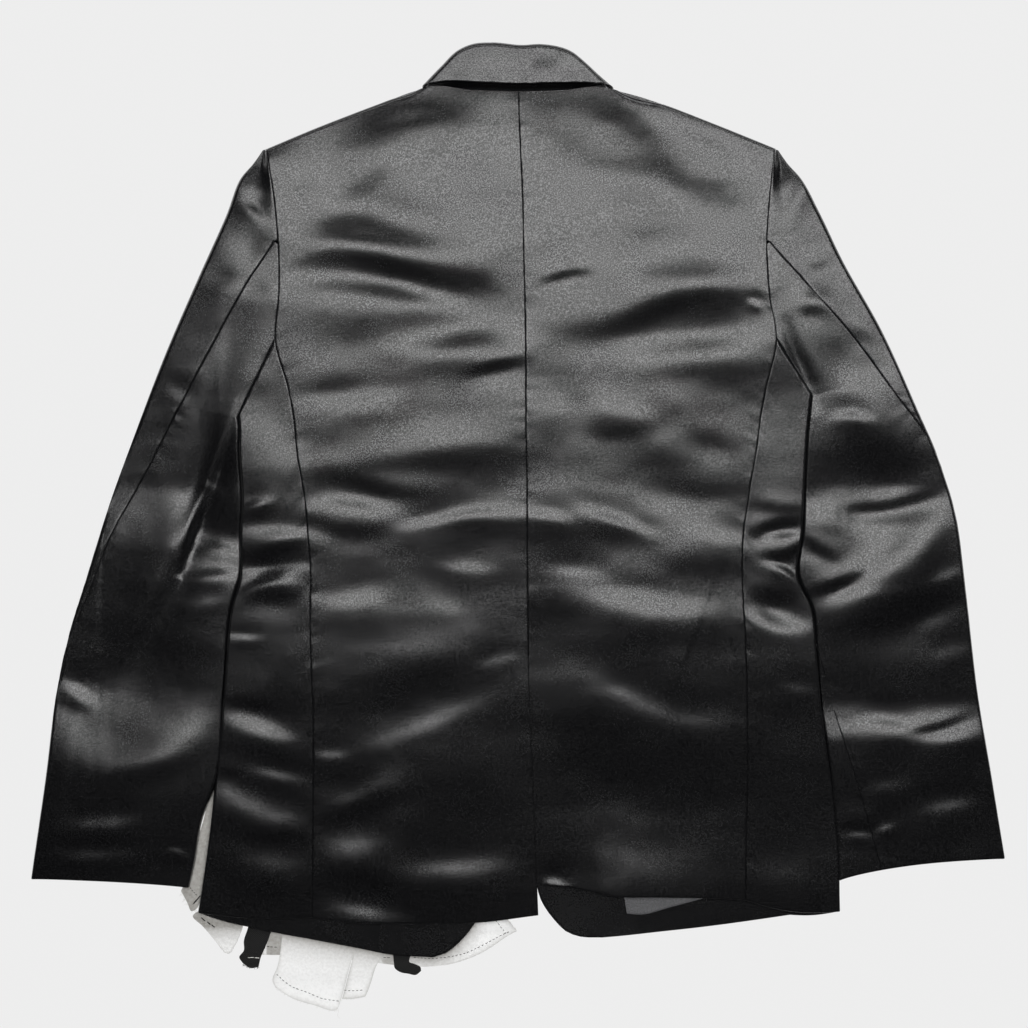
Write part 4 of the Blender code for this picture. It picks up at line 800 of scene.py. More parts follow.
satinLooks = {
    "satin": {
        "dark": (0.0016, 0.0016, 0.0018), "light": (0.0056, 0.0056, 0.0062),
        "roughness": 0.245, "grain": 1.0,
    },
    "inside_satin": {
        "dark": (0.0016, 0.0016, 0.0018), "light": (0.006, 0.006, 0.0066),
        "roughness": 0.27, "grain": 0.8,
    },
    "grey_satin": {
        "dark": (0.05, 0.05, 0.052), "light": (0.085, 0.085, 0.09),
        "roughness": 0.42, "grain": 0.7,
    },
}
# The flecks are bright threads: their contrast and mean; unevenGloss spreads the roughness
fleckLook = {"contrast": 5.0, "mean": 0.42}
unevenGloss = 0.14
grainDepth = 0.00005


def satinMaterial(slot, group):
    # Heavy satin: the grain flecks the colour and the gloss, and pits the surface
    look = satinLooks[slot]
    gloss = {"Specular IOR Level": 0.36, "Coat Roughness": look["roughness"], "Coat IOR": 1.5}
    material = newMaterial("scene_" + slot, look["dark"], look["roughness"], gloss)
    tree = material.node_tree
    shader = tree.nodes["Principled BSDF"]
    grain = useGroup(material, group)
    contrast = fleckLook["contrast"] * look["grain"]
    least = fleckLook["mean"] - contrast / 2
    fleck = mathNode(tree, "MULTIPLY_ADD", grain.outputs["Grain"], contrast, least, True)
    tree.links.new(fleck, shader.inputs["Coat Weight"])
    tree.links.new(mixColours(tree, fleck, look["dark"], look["light"]), shader.inputs["Base Color"])
    uneven = mathNode(tree, "ADD", grain.outputs["Grain"], grain.outputs["Bloom"])
    rough = mathNode(tree, "MULTIPLY_ADD", uneven, unevenGloss, look["roughness"] - unevenGloss)
    tree.links.new(rough, shader.inputs["Roughness"])
    slub = mathNode(tree, "MULTIPLY", grain.outputs["Slub"], 0.6)
    height = mathNode(tree, "ADD", grain.outputs["Grain"], slub)
    addBump(material, height, grainDepth * look["grain"], 1.0)
    return material


# The cotton's own white, and the grey of the shade painted onto it
cottonLook = {"base": (0.78, 0.77, 0.74), "white": (0.84, 0.84, 0.835), "grey": (0.25, 0.24, 0.22)}
tapeLook = {"base": (0.002, 0.002, 0.002), "dark": (0.0012, 0.0012, 0.0012), "light": (0.007, 0.007, 0.007)}
hornLook = {"base": (0.012, 0.011, 0.01), "dark": (0.006, 0.005, 0.005), "light": (0.035, 0.026, 0.02)}


def cottonMaterial(group):
    # Plain cotton: white where the light falls, with painted shade that makes it greyer and warmer by the
    # jacket's edge, along its rims and on shadowed stretches
    nap = {"Sheen Weight": 0.1, "Sheen Roughness": 0.6}
    material = newMaterial("scene_cotton", cottonLook["base"], 0.85, nap)
    tree = material.node_tree
    shader = tree.nodes["Principled BSDF"]
    weave = useGroup(material, group)
    # The painted shade stored on the points mixes the painted grey into the white
    shade = tree.nodes.new("ShaderNodeAttribute")
    shade.attribute_name = "shade"
    plain = mathNode(tree, "MULTIPLY_ADD", weave.outputs["Slub"], 0.5, -0.25)
    share = mathNode(tree, "ADD", shade.outputs["Fac"], plain)
    colour = mixColours(tree, share, cottonLook["white"], cottonLook["grey"])
    tree.links.new(colour, shader.inputs["Base Color"])
    addBump(material, weave.outputs["Height"], 0.0003, 0.6)
    return material


def tapeMaterial(group):
    # Black woven tape, coarser than the cotton
    nap = {"Sheen Weight": 0.02, "Sheen Roughness": 0.5}
    material = newMaterial("scene_tape", tapeLook["base"], 0.7, nap)
    weave = useGroup(material, group)
    weave.inputs["Threads per metre"].default_value = 1100.0
    tree = material.node_tree
    colour = mixColours(tree, weave.outputs["Slub"], tapeLook["dark"], tapeLook["light"])
    tree.links.new(colour, tree.nodes["Principled BSDF"].inputs["Base Color"])
    addBump(material, weave.outputs["Height"], 0.0004, 0.7)
    return material


def hornMaterial(group):
    # Polished dark horn with faint brown streaks
    polish = {"Coat Weight": 0.3, "Coat Roughness": 0.1}
    material = newMaterial("scene_horn", hornLook["base"], 0.22, polish)
    grain = useGroup(material, group)
    grain.inputs["Grain scale"].default_value = 160.0
    tree = material.node_tree
    colour = mixColours(tree, grain.outputs["Slub"], hornLook["dark"], hornLook["light"])
    tree.links.new(colour, tree.nodes["Principled BSDF"].inputs["Base Color"])
    return material


grainGroup = satinGrainGroup()
weaveGroup = plainWeaveGroup()
satin = satinMaterial("satin", grainGroup)
insideSatin = satinMaterial("inside_satin", grainGroup)
greySatin = satinMaterial("grey_satin", grainGroup)
cotton = cottonMaterial(weaveGroup)
tape = tapeMaterial(weaveGroup)
horn = hornMaterial(grainGroup)
blackThread = newMaterial("scene_black_thread", (0.008, 0.008, 0.008), 0.6)
paleThread = newMaterial("scene_pale_thread", (0.62, 0.61, 0.58), 0.7)
print("materials made")

# The back: two panels that meet at the centre seam and overlap along the vent
backHem = {
    "left": ((-181, -343), (-158, -346.5), (-124, -348), (-91, -348), (-37, -347.5), (18, -341)),
    "right": ((18, -312), (52, -318), (85, -324), (123, -325), (164, -326), (200, -328)),
}
backGrid = {"across": 84, "down": 262, "width": 210, "height": 730}
edgeSteps = 700
# The right half falls away beside the vent, and its hem stands up in a bow further right
ventFall = {"height": 2.7, "from": -50.0, "over": 55.0, "start": 4.0, "width": 60.0}
hemBow = {"height": 4.5, "from": -250.0, "over": 75.0, "middle": 95.0, "width": 70.0}


def panelEdge(side, gap, low):
    # Outer edge of a back panel, down the armhole and the side seam
    y = np.linspace(shoulderTip[side][1], low, edgeSteps)
    x = bodyAt(side, y) + (gap if side == "left" else -gap)
    return np.stack([x, y], axis=-1)


def centreEdge(gap, low):
    # Edge of a back panel down the centre seam
    y = np.linspace(neckTop, low, edgeSteps)
    return np.stack([bodyAt("centre", y) + gap, y], axis=-1)


def ventShape(x, y):
    # What the right half's drop beside the vent takes off and its bow, a bell, adds
    away = ease((x - bodyAt("centre", y) - ventFall["start"]) / ventFall["width"])
    drop = ventFall["height"] * ease((ventFall["from"] - y) / ventFall["over"]) * (1 - away)
    bell = np.exp(-(((x - hemBow["middle"]) / hemBow["width"]) ** 2))
    bow = hemBow["height"] * ease((hemBow["from"] - y) / hemBow["over"]) * bell * away
    return bow - drop


def makeBack(side):
    # The body's form over a patch between neck and shoulder, hem, armhole side and centre seam;
    # the right half has the underlap eased in below the vent's top
    half, hem = sewnGap / 2, backHem[side]
    if side == "left":
        edges = panelEdge(side, half, hem[0][1]), centreEdge(-half, hem[-1][1])
        neck = [p for p in neckSeam if p[0] <= 0]
        shoulder = [p for p in shoulderLine if shoulderTip[side][0] <= p[0] <= neck[0][0]]
        top = shoulder[1:-1] + neck[:-1]
    else:
        edges = centreEdge(half, hem[0][1]), panelEdge(side, half, hem[-1][1])
        edges[0][:, 0] -= ventUnderlap * ease((ventTop - edges[0][:, 1]) / ventUnderlap)
        neck = [p for p in neckSeam if p[0] >= 0]
        shoulder = [p for p in shoulderLine if neck[-1][0] <= p[0] <= shoulderTip[side][0]]
        top = neck[1:] + shoulder[1:-1]
    across = crowded(backGrid["across"], backGrid["width"])
    down = crowded(backGrid["down"], backGrid["height"])
    left, right = (alongLine(edge, down) for edge in edges)
    plan = patchBetween(left, right, across, down, top, hem[1:-1])
    grids = bodyLayers(plan, "top")
    if side == "right":
        for grid in grids:
            grid[..., 2] += ventShape(plan[..., 0], plan[..., 1])
    clothPiece("back_" + side, *grids, satin, "satin", ("left", "right", "bottom"))


for side in ("left", "right"):
    makeBack(side)
print("backs made")

# Side panels, from the back seam over the round fold to the seam underneath
frontSeam = (
    (-400, -242, 243), (-343, -238, 240), (-180, -225, 225), (-60, -212, 212),
    (30, -205, 208), (100, -206, 214), (166, -213, 226.5),
)
frontSeamHem = {"left": -351.5, "right": -341.5}
sideHemDrop = {"left": 3.0, "right": 5.0}
sideHemShare = 0.06
sideGrid = {"top": 30, "under": 26, "down": 190, "width": 55, "height": 480}


def sideSteps(count):
    # Shares of the way from a seam to the fold, close together at both
    turn = np.sin(np.linspace(0, math.pi / 2, count))
    first = nearEdge / sideGrid["width"]
    return np.concatenate([first[:-1], first[-1] + (1 - first[-1]) * turn])


def makeSide(side):
    # Each row runs straight from the back seam to the fold, over the top, and back underneath to
    # the front seam
    sign = -1 if side == "left" else 1
    onWay, backWay = sideSteps(sideGrid["top"]), sideSteps(sideGrid["under"])[-2::-1]
    out = np.concatenate([onWay, backWay])
    onTop = np.arange(len(out)) < len(onWay)
    hem = backHem[side][0 if side == "left" else -1][1]
    down = crowded(sideGrid["down"], sideGrid["height"], start=False)
    seamY = armholeFoot + (hem - armholeFoot) * down
    underY = armholeFoot + (frontSeamHem[side] - armholeFoot) * down
    edgeY = underarmY[side] + (sideHem[side] - underarmY[side]) * down
    edgeX = bodyAt(side + "_fold", edgeY)
    seamX = bodyAt(side, seamY) + sign * sewnGap / 2
    underX = readTable(("y", "left", "right"), frontSeam, side, underY) + sign * sewnGap / 2
    fromX = np.where(onTop, seamX[:, None], underX[:, None])
    fromY = np.where(onTop, seamY[:, None], underY[:, None])
    x = fromX + (edgeX[:, None] - fromX) * out
    y = fromY + (edgeY[:, None] - fromY) * out
    belly = np.sin(math.pi * out) * np.where(onTop, 1.0, 0.4)
    y = y - sideHemDrop[side] * belly * ease((down - 1 + sideHemShare) / sideHemShare)[:, None]
    grids = []
    for inset in (0.0, clothWall):
        top = bodyPoint(x, y, "top", inset)
        under = bodyPoint(x, y, "under", inset, side)
        grid = np.where(onTop[None, :, None], top, under)
        turn = len(onWay) - 1
        grid[:, turn] = (top[:, turn] + under[:, turn]) / 2
        grids.append(grid)
    clothPiece("side_" + side, *grids, satin, "satin", ("left", "top", "bottom"))


for side in ("left", "right"):
    makeSide(side)
print("sides made")

# Fronts underneath, with their cutaway corners and facings
frontHem = {
    "left": ((-238, -351.5), (-218, -356), (-180, -363), (-143, -370), (-113, -376), (-75, -378.5)),
    "right": ((240, -341.5), (209, -346), (164, -352), (119, -357), (92, -360), (74, -361.5)),
}
frontEdge = {
    "left": ((-84, 386), (-44, 230), (-3, 80), (14, 40), (15, -60), (9, -150), (-6, -250), (-22, -312),
             (-37, -347), (-53, -366.5), (-63, -374.5), (-75, -378.5)),
    "right": ((86, 384.5), (52, 230), (17, 80), (0, 40), (-1, -60), (2, -150), (8, -250), (14, -300),
              (21, -330), (33, -347), (43, -356.5), (54, -360.5), (74, -361.5)),
}
frontGrid = {"across": 30, "down": 110, "width": 210, "height": 730}
facingGrid = {"across": 16, "down": 24, "width": 90}
facingEdge = {
    "left": ((-124, -373.5), (-118, -330), (-108, -285)),
    "right": ((107, -358), (104, -330), (100, -285)),
}
facingTop = {"left": (-17, -285), "right": (15, -285)}
facingInset = 1.6
facingSag = 0.6


def makeFront(side):
    # The body's underside over a patch between shoulder, hem, side seams and front edge
    half = sewnGap / 2
    armhole = panelEdge(side, half, armholeFoot)
    y = np.linspace(armholeFoot, frontSeamHem[side], edgeSteps)[1:]
    x = readTable(("y", "left", "right"), frontSeam, side, y) + (half if side == "left" else -half)
    outer = np.concatenate([armhole, np.stack([x, y], axis=-1)])
    across = crowded(frontGrid["across"], frontGrid["width"])
    down = crowded(frontGrid["down"], frontGrid["height"])
    neck = frontEdge[side][0][0]
    if side == "left":
        line = [p for p in shoulderLine if outer[0, 0] + 1 < p[0] < neck]
    else:
        line = [p for p in shoulderLine if neck < p[0] < outer[0, 0] - 1][::-1]
    edge = curve(frontEdge[side], down)
    plan = patchBetween(alongLine(outer, down), edge, across, down, line, frontHem[side][1:-1])
    grids = bodyLayers(plan, "under", side)
    clothPiece("front_" + side, *grids, satin, "satin", ("left", "right", "bottom"))


def makeFacing(side):
    # A thin layer on the front's upper face, just inside its edge
    across = crowded(facingGrid["across"], facingGrid["width"])
    down = crowded(facingGrid["down"], facingGrid["width"], start=False)
    inner = curve(facingEdge[side][::-1], down)
    points = np.array([p for p in frontEdge[side] if p[1] < facingTop[side][1]], float)
    inwards = (-facingInset if side == "left" else facingInset, facingInset)
    edge = curve(np.concatenate([[facingTop[side]], points + inwards]), down)
    middle = (inner[-1] + edge[-1]) / 2 - (0, facingSag)
    plan = patchBetween(inner, edge, across, down, bottom=[tuple(middle)])
    raised = clothWall + layerGap
    grids = bodyLayers(plan, "under", side, (raised + singleLayer, raised))
    clothPiece("facing_" + side, *grids, insideSatin, "inside_satin")


for side in ("left", "right"):
    makeFront(side)
    makeFacing(side)
print("fronts made")

# Sleeves
sleeveColumns = ("station", "outer_x", "outer_y", "rise", "outer_middle")
sleeveTable = {
    "left": (
        (0.00, -224.5, 332, 12, 10), (0.06, -233, 320, 17, 9.5), (0.12, -244, 307, 20, 9),
        (0.22, -257, 274, 20, 8), (0.33, -281, 221, 19, 7), (0.44, -311, 152, 17.5, 6.5),
        (0.55, -340, 76, 16, 6), (0.64, -361, 18, 15, 5.5), (0.72, -381, -46, 14, 5),
        (0.79, -398, -102, 13.5, 5), (0.84, -407, -146, 13, 5), (0.92, -416.5, -222, 11, 4.5),
        (1.00, -429.4, -309.5, 9, 4),
    ),
    "right": (
        (0.00, 229, 332, 12, 10), (0.06, 237.5, 320, 17, 9.5), (0.12, 249, 307, 20, 9),
        (0.22, 266, 276, 20, 8), (0.33, 288, 231, 19, 7), (0.44, 320.6, 173, 17.5, 6.5),
        (0.55, 351, 106, 16, 6), (0.64, 372.6, 55, 15, 5.5), (0.70, 386, 10, 14.5, 5),
        (0.77, 395, -58, 14, 5), (0.85, 405, -144, 13, 5), (0.93, 418, -222, 11, 4.5),
        (1.00, 429.4, -291.5, 9, 4),
    ),
}
# Shares of the sleeve's length at the end of its head and of the part under the arm, and the
# stretch below over which it leaves the body's levels
headStation, underarmStation = 0.40, 0.50
innerEase = 0.12
armpitFade = {"left": 0.2, "right": 0.16}
# How far round the sleeve is closed at its head, the gap at the armhole, and its tuck below it
headGrip = (0.3, 0.8)
sleeveTuck = -1.5
armholeEase = 0.9
underarmFlat = {"inset": 8.0, "from": 190.0, "over": 40.0}
innerMiddle = 3.0
sleeveAway = (
    (-330, 11, -1.5), (-317, 11, -1.5), (-296, 9.6, -1.5), (-256, 7.5, -1.5), (-224, -1.5, -1.5),
    (-150, -1.5, -1.5), (97, -1.5, -1.5), (120, -1.5, -1.5),
)
cuffInnerY = {"left": -317.0, "right": -311.0}
cuffBow = {"left": 2.0, "right": 6.0}
cuffReach = 40.0
# The back seam as drawn, and the share across at which it ends beneath the outer fold
backSeam = {
    "left": (
        (-213, 252), (-234, 221), (-263, 171), (-301, 101), (-331, 44), (-357, -2), (-381, -63),
        (-401, -106),
    ),
    "right": ((219, 252), (253, 215), (291, 172), (333, 116), (363, 76), (376, 50)),
}
backSeamEnd = {"left": 1.06, "right": 1.12}
backSeamStep = 83.0
seamSteps = 960
leastTurn = 0.006
# The front seam's share across at its top and foot, the level from which it moves, its run
frontSeamTurn = {"left": (-0.12, -0.12), "right": (0.0, 0.25)}
frontSeamRises = {"left": -400.0, "right": -95.0}
frontSeamRun = 210.0
frontSeamEase = 0.08
foldRate = 7.0
# Where the left sleeve lies on the side strip
stripUnder = {"from": -190.0, "over": 25.0, "start": 26.0, "width": 20.0}
sleeveGrid = {
    "head": 64, "underarm": 16, "arm": 190, "length": 430,
    "upper": 70, "upperWidth": 420, "under": 72, "underWidth": 160,
}


def sleeveRows(side):
    # Rows of a sleeve: its inner and outer points, its heights and how far it is closed
    headDown = armholeDepth * np.linspace(0, 1, sleeveGrid["head"]) ** 1.5
    head = headDown / armholeDepth * headStation
    underTurn = np.sin(np.linspace(0, math.pi / 2, sleeveGrid["underarm"]))[1:]
    under = headStation + (underarmStation - headStation) * underTurn
    armShare = crowded(sleeveGrid["arm"], sleeveGrid["length"], start=False)[1:]
    arm = underarmStation + (1 - underarmStation) * armShare
    station = np.concatenate([head, under, arm])
    table = sleeveColumns, sleeveTable[side]
    outer = np.stack([readTable(*table, name, station) for name in ("outer_x", "outer_y")], axis=-1)
    armY = shoulderTip[side][1] - headDown
    armhole = np.stack([bodyAt(side, armY), armY], axis=-1)
    foldName = side + "_fold"
    underarm = np.array((float(bodyAt(foldName, underarmY[side])), underarmY[side]))
    armpit = armhole[-1] + (underarm - armhole[-1]) * underTurn[:, None]
    y = underarmY[side] + (cuffInnerY[side] - underarmY[side]) * armShare
    away = readTable(("y", "left", "right"), sleeveAway, side, y)
    x = bodyAt(foldName, y) + (-away if side == "left" else away)
    inner = np.concatenate([armhole, armpit, np.stack([x, y], axis=-1)])
    span = outer - inner
    unit = span / np.linalg.norm(span, axis=1, keepdims=True)
    closedBy = len(head) + len(under)
    parted = np.full(closedBy, sewnGap)
    parted[len(head):] += (sleeveTuck - sewnGap) * np.linspace(0, 1, len(under)) ** 3
    inner[:closedBy] += unit[:closedBy] * parted[:, None]
    grip = np.ones(len(station))
    grip[:len(head)] = np.interp(head, (0, headStation), headGrip)
    grip[len(head):closedBy] = np.interp(under, (headStation, underarmStation), (headGrip[1], 1))
    bodyMiddle = foldMiddle * bodyAt("rise", inner[:, 1])
    past = ease((station - underarmStation) / innerEase)
    matched = 1 - ease((station - underarmStation) / armpitFade[side])
    armholeTop = bodyPoint(inner[:, 0], inner[:, 1], "top")[:, 2]
    lowered = ease((inner[0, 1] - underarmFlat["from"] - inner[:, 1]) / underarmFlat["over"])
    inward = (1 if side == "left" else -1) * underarmFlat["inset"] * lowered
    flatTop = bodyPoint(inner[:, 0] + inward, inner[:, 1], "top")[:, 2]
    flatTop[closedBy:] = flatTop[closedBy - 1]
    armholeTop[closedBy:] = bodyMiddle[closedBy:]
    return {
        "inner": inner, "outer": outer, "grip": grip, "station": station, "closed": closedBy,
        "firstUnder": int(np.searchsorted(headDown, backSeamStep)), "place": side, "match": matched,
        "rise": readTable(*table, "rise", station),
        "outerMiddle": readTable(*table, "outer_middle", station),
        "innerMiddle": bodyMiddle * (1 - past) + innerMiddle * past,
        "armholeTop": flatTop, "armholeDrop": flatTop - armholeTop,
        "armholeUnder": bodyPoint(inner[:, 0], inner[:, 1], "under", 0.0, side)[:, 2],
    }


# Pinched pleats beside an armhole, as bells across a path: path, half width, depth
armholePleats = {
    "left": (),
    "right": ((((232, 190), (243, 156), (255, 128), (263, 98)), 6.5, 1.7),),
}


def sleevePoint(rows, turn, inset=0.0):
    # Points round the sleeve: turn 0 is the inner fold, 0.5 the outer fold, by way of the top.
    # A row crosses the plan as a cosine of the turn, and its height is a flattened round.
    s = np.cos(2 * math.pi * turn)
    onTop = np.mod(turn, 1.0) < 0.5
    grip = rows["grip"][:, None]
    closed = np.clip((grip - headGrip[1]) / (1 - headGrip[1]), 0, 1)
    span = rows["outer"] - rows["inner"]
    along = span / np.linalg.norm(span, axis=1, keepdims=True)
    outer = rows["outer"] - along * inset
    inner = rows["inner"] + along * inset * closed
    unit = np.linalg.norm(outer - inner, axis=1)[:, None] / (grip + 1)
    plan = inner[:, None] + (outer - inner)[:, None] * ((grip - s) / (grip + 1))[..., None]
    fromOuter, fromInner = (s + 1) * unit, (1 - s) * unit
    cuff = ease((cuffInnerY[rows["place"]] + cuffReach - plan[..., 1]) / cuffReach)
    plan[..., 1] += cuffBow[rows["place"]] * cuff * np.clip(1 - s * s, 0, 1) ** 0.75
    rise = rows["rise"][:, None]
    share = (s + 1) / 2
    middle = rows["outerMiddle"][:, None] * (1 - share) + rows["innerMiddle"][:, None] * share
    reach = foldReach * (rise - middle)
    full = 1.0
    for distance in (fromOuter, fromInner):
        rounded = quarter(distance / np.maximum(reach - inset, foldLeast))
        full = full * (roundShare * rounded + (1 - roundShare) * swell(distance / sleevePillow))
    crease = relief(rows["place"], plan[..., 0], plan[..., 1])
    near = ease((s - grip + armholeEase) / armholeEase) * rows["match"][:, None]
    top = middle + (rise - inset - middle + crease) * full
    if rows["place"] == "left":
        skewed = plan[..., 1] + recessSkew * (plan[..., 0] - sleeveRecess["edge"][2][0])
        level = readTable(("y", "level"), recessLevels, "level", skewed)
        below = np.minimum(top, level - inset + recessCrease * crease)
        top = top + (below - top) * recess(plan[..., 0], plan[..., 1])
    folded = 1 - quarter(fromInner / np.maximum(reach - inset, foldLeast))
    drop = (rows["armholeDrop"][:, None] - inset * closed) * folded
    top = top + (rows["armholeTop"][:, None] - inset - drop - top) * near
    for path, width, depth in armholePleats[rows["place"]]:
        signed, passed = beside(path, plan[..., 0], plan[..., 1])
        top = top - depth * np.exp(-((signed / width) ** 2)) * np.sin(math.pi * passed)
    flat = quarter(fromOuter / sleeveUnderReach) * quarter(fromInner / sleeveUnderReach)
    strip = underRelief(plan[..., 0], plan[..., 1])
    if rows["place"] == "left":
        lower = ease((stripUnder["from"] - plan[..., 1]) / stripUnder["over"])
        beyond = ease((fromInner - stripUnder["start"]) / stripUnder["width"])
        strip = strip + lowLayer * lower * (1 - beyond)
    under = middle * (1 - flat) + (inset + strip) * flat
    under = under + (rows["armholeUnder"][:, None] + inset * (1 - closed) - under) * near
    return np.concatenate([plan, np.where(onTop, top, under)[..., None]], axis=-1)


def turnAt(share, grip):
    # Turn of the point that is this share of the way across the top, from the inner edge.
    # Below 0 it is underneath by the inner fold, above 1 underneath by the outer fold.
    inside = np.clip(np.where(share > 1, 2 - share, np.abs(share)), 0, 1)
    s = grip - inside * (grip + 1)
    turn = np.arccos(np.clip(s, -1, 1)) / (2 * math.pi)
    return np.where(share > 1, 1 - turn, np.where(share < 0, -turn, turn))


def seamShare(rows, seam):
    # Share of the way across each row at which a drawn seam crosses it
    line = np.array(seam[::-1], float)
    t = np.linspace(0, 1, seamSteps + 1)[None, :, None]
    points = rows["inner"][:, None] * (1 - t) + rows["outer"][:, None] * t
    seamX = smooth(line[:, 1], line[:, 0], points[..., 1])
    return np.argmin(np.abs(points[..., 0] - seamX), axis=1) / seamSteps


def turnGap(rows, turn):
    # Half a seam gap, as a part of a full turn
    unit = np.linalg.norm(rows["outer"] - rows["inner"], axis=1) / (rows["grip"] + 1)
    rate = np.hypot(unit * np.sin(2 * math.pi * turn), foldRate * np.cos(2 * math.pi * turn))
    return sewnGap / (4 * math.pi * rate)


def makeSleeve(side):
    # Both panels are stretches of the same round: the upper one from the back seam by way of the
    # outer fold to the front seam underneath, the under one from the front seam to the back seam
    rows = sleeveRows(side)
    station, grip, closedBy = rows["station"], rows["grip"], rows["closed"]
    firstUnder = rows["firstUnder"]
    armholeTurn = np.arccos(grip) / (2 * math.pi)
    back = seamShare(rows, backSeam[side])
    endY = backSeam[side][-1][1]
    outerY = rows["outer"][:, 1]
    pastEnd = np.clip((endY - outerY) / (endY - outerY[-1]), 0, 1)
    back = np.where(outerY < endY, 1 + (backSeamEnd[side] - 1) * pastEnd, back)
    backTurn = np.maximum(turnAt(back, grip), armholeTurn + leastTurn)
    start, finish = frontSeamTurn[side]
    past = ease((station - station[closedBy - 1]) / frontSeamEase)
    rising = np.clip((frontSeamRises[side] - rows["inner"][:, 1]) / frontSeamRun, 0, 1)
    isArmhole = np.arange(len(station)) < closedBy
    isHead = np.arange(len(station)) < firstUnder
    frontTurn = np.where(isArmhole, 0.0, turnAt(start * past + (finish - start) * rising, grip))
    backGap, frontGap = turnGap(rows, backTurn), turnGap(rows, frontTurn)

    begin = np.where(isHead, armholeTurn, backTurn + backGap)
    stop = np.minimum(1 - np.where(isArmhole, armholeTurn, -1.0), 1 + frontTurn - frontGap)
    across = crowded(sleeveGrid["upper"], sleeveGrid["upperWidth"])
    turn = begin[:, None] + (stop - begin)[:, None] * across
    grids = [sleevePoint(rows, turn, inset) for inset in (0.0, clothWall)]
    clothPiece(f"sleeve_{side}_upper", *grids, satin, "satin", ("left", "bottom"))

    begin = np.maximum(np.where(isArmhole, armholeTurn, -1.0), frontTurn + frontGap)
    stop = backTurn - backGap
    across = crowded(sleeveGrid["under"], sleeveGrid["underWidth"])
    turn = begin[:, None] + (stop - begin)[:, None] * across
    grids = [sleevePoint(rows, turn, inset)[firstUnder:] for inset in (0.0, clothWall)]
    clothPiece(f"sleeve_{side}_under", *grids, satin, "satin", ("left", "right", "bottom"))


for side in ("left", "right"):
    makeSleeve(side)
print("sleeves made")

# Collar: its roll edge at the top, the fall over the back and the stand inside
collarRoll = (
    (-84, 388.5), (-68, 405), (-52, 420), (-40, 425), (-23, 426.4), (4, 424.2), (20, 425),
    (48, 418), (58, 410), (71, 398), (84, 386.5),
)
collarFreeEdge = ((-80, 388.8), (-64, 391.6), (-30, 391.4), (0, 391), (63, 390.2), (80, 388.2))
collarSizes = {
    "rise": 21.5, "middle": 12.0, "reach": 4.5, "dip": 3.0, "standRise": 8.8,
    "riseFrom": 0.74, "depth": 42.0, "sag": 2.0,
}
collarWaves = {"wide": 0.35, "fine": 0.14}
collarGrid = {"across": 110, "width": 190, "down": 33, "rollShare": 0.94, "height": 60}


def makeCollar():
    # Straight lines from the roll to the free edge and to the neck; the fall bulges by a quarter
    # circle, and the stand dips inside and rises again to the neck seam
    collar, grid = collarSizes, collarGrid
    across = crowded(grid["across"], grid["width"])
    turned = 1 - np.cos(np.linspace(0, math.pi / 2, grid["down"] + 1))[:-1]
    down = np.concatenate([turned * grid["rollShare"], 1 - nearEdge[::-1] / grid["height"]])
    roll = curve(collarRoll, across)
    neck = curve([(-80, 387.2)] + list(neckSeam[1:-1]) + [(80, 386.2)], across)
    neck[:, 1] -= 2 * faceGap
    free = curve(collarFreeEdge, across)
    free[:, 1] -= collar["sag"] * np.sin(math.pi * across)
    for name, edge in (("collar_fall", free), ("collar_stand", neck)):
        lines = roll[None] + (edge - roll)[None] * down[:, None, None]
        depth = np.linalg.norm(lines - roll[None], axis=-1)
        x, y = lines[..., 0], lines[..., 1]
        wavy = collarWaves["wide"] * unevenness(x, y, 34, 21)
        wavy += collarWaves["fine"] * unevenness(x, y, 12, 22)
        grids = []
        for inset in (0.0, collarWall):
            share = np.clip(depth / collar["reach"], 0, 1)
            inside = depth - inset * share
            plan = lines.copy()
            plan[..., 1] -= inset * (1 - share)
            if name == "collar_fall":
                height = collar["rise"] - inset - collar["middle"]
                bulge = quarter(inside / (collar["reach"] - inset))
                z = collar["middle"] + faceGap / 2 + (height + wavy) * bulge
            else:
                dip = (collar["dip"] - inset) * quarter(inside / (collar["reach"] / 2))
                gone = depth / depth[-1:]
                risen = ease((gone - collar["riseFrom"]) / (1 - collar["riseFrom"]))
                risen = risen * ease(depth[-1:] / collar["depth"])
                z = collar["middle"] - faceGap / 2 - dip + collar["standRise"] * risen
            grids.append(np.concatenate([plan, z[..., None]], axis=-1))
        edges = ("left", "right", "bottom") if name == "collar_fall" else ()
        clothPiece(name, *grids, satin, "satin", edges)


makeCollar()
print("collar made")


def heightOver(names):
    # Finds the highest surface of some pieces over a plan point, in millimetres
    trees = []
    for name in names:
        mesh = bpy.data.objects[name].data
        corners = np.empty(len(mesh.vertices) * 3, np.float32)
        mesh.vertices.foreach_get("co", corners)
        quads = np.empty(len(mesh.loops), np.int32)
        mesh.loops.foreach_get("vertex_index", quads)
        trees.append(BVHTree.FromPolygons(corners.reshape(-1, 3).tolist(), quads.reshape(-1, 4).tolist()))

    def height(x, y):
        start = Vector((x * metre + shift[0], y * metre + shift[1], 1.0))
        hits = [tree.ray_cast(start, Vector((0, 0, -1)))[0] for tree in trees]
        found = [hit.z / metre for hit in hits if hit is not None]
        return max(found) if found else 0.0

    return height


# Pocket flaps: flat under the fronts, then up beneath the body's folds and over the sleeves
flapPlaces = {
    "left": {"tipTop": (-259.2, -107), "tipLow": (-268.5, -149), "innerTop": -119.0, "innerFoot": -172.0},
    "right": {"tipTop": (271.5, -131), "tipLow": (279.5, -160), "innerTop": -123.0, "innerFoot": -176.0},
}
flapInnerX = 120.0
flapNear = 40.0
flapClear = 1.2
flapGrid = {"down": 14, "height": 45, "hidden": 34, "fold": 28, "tip": 14}


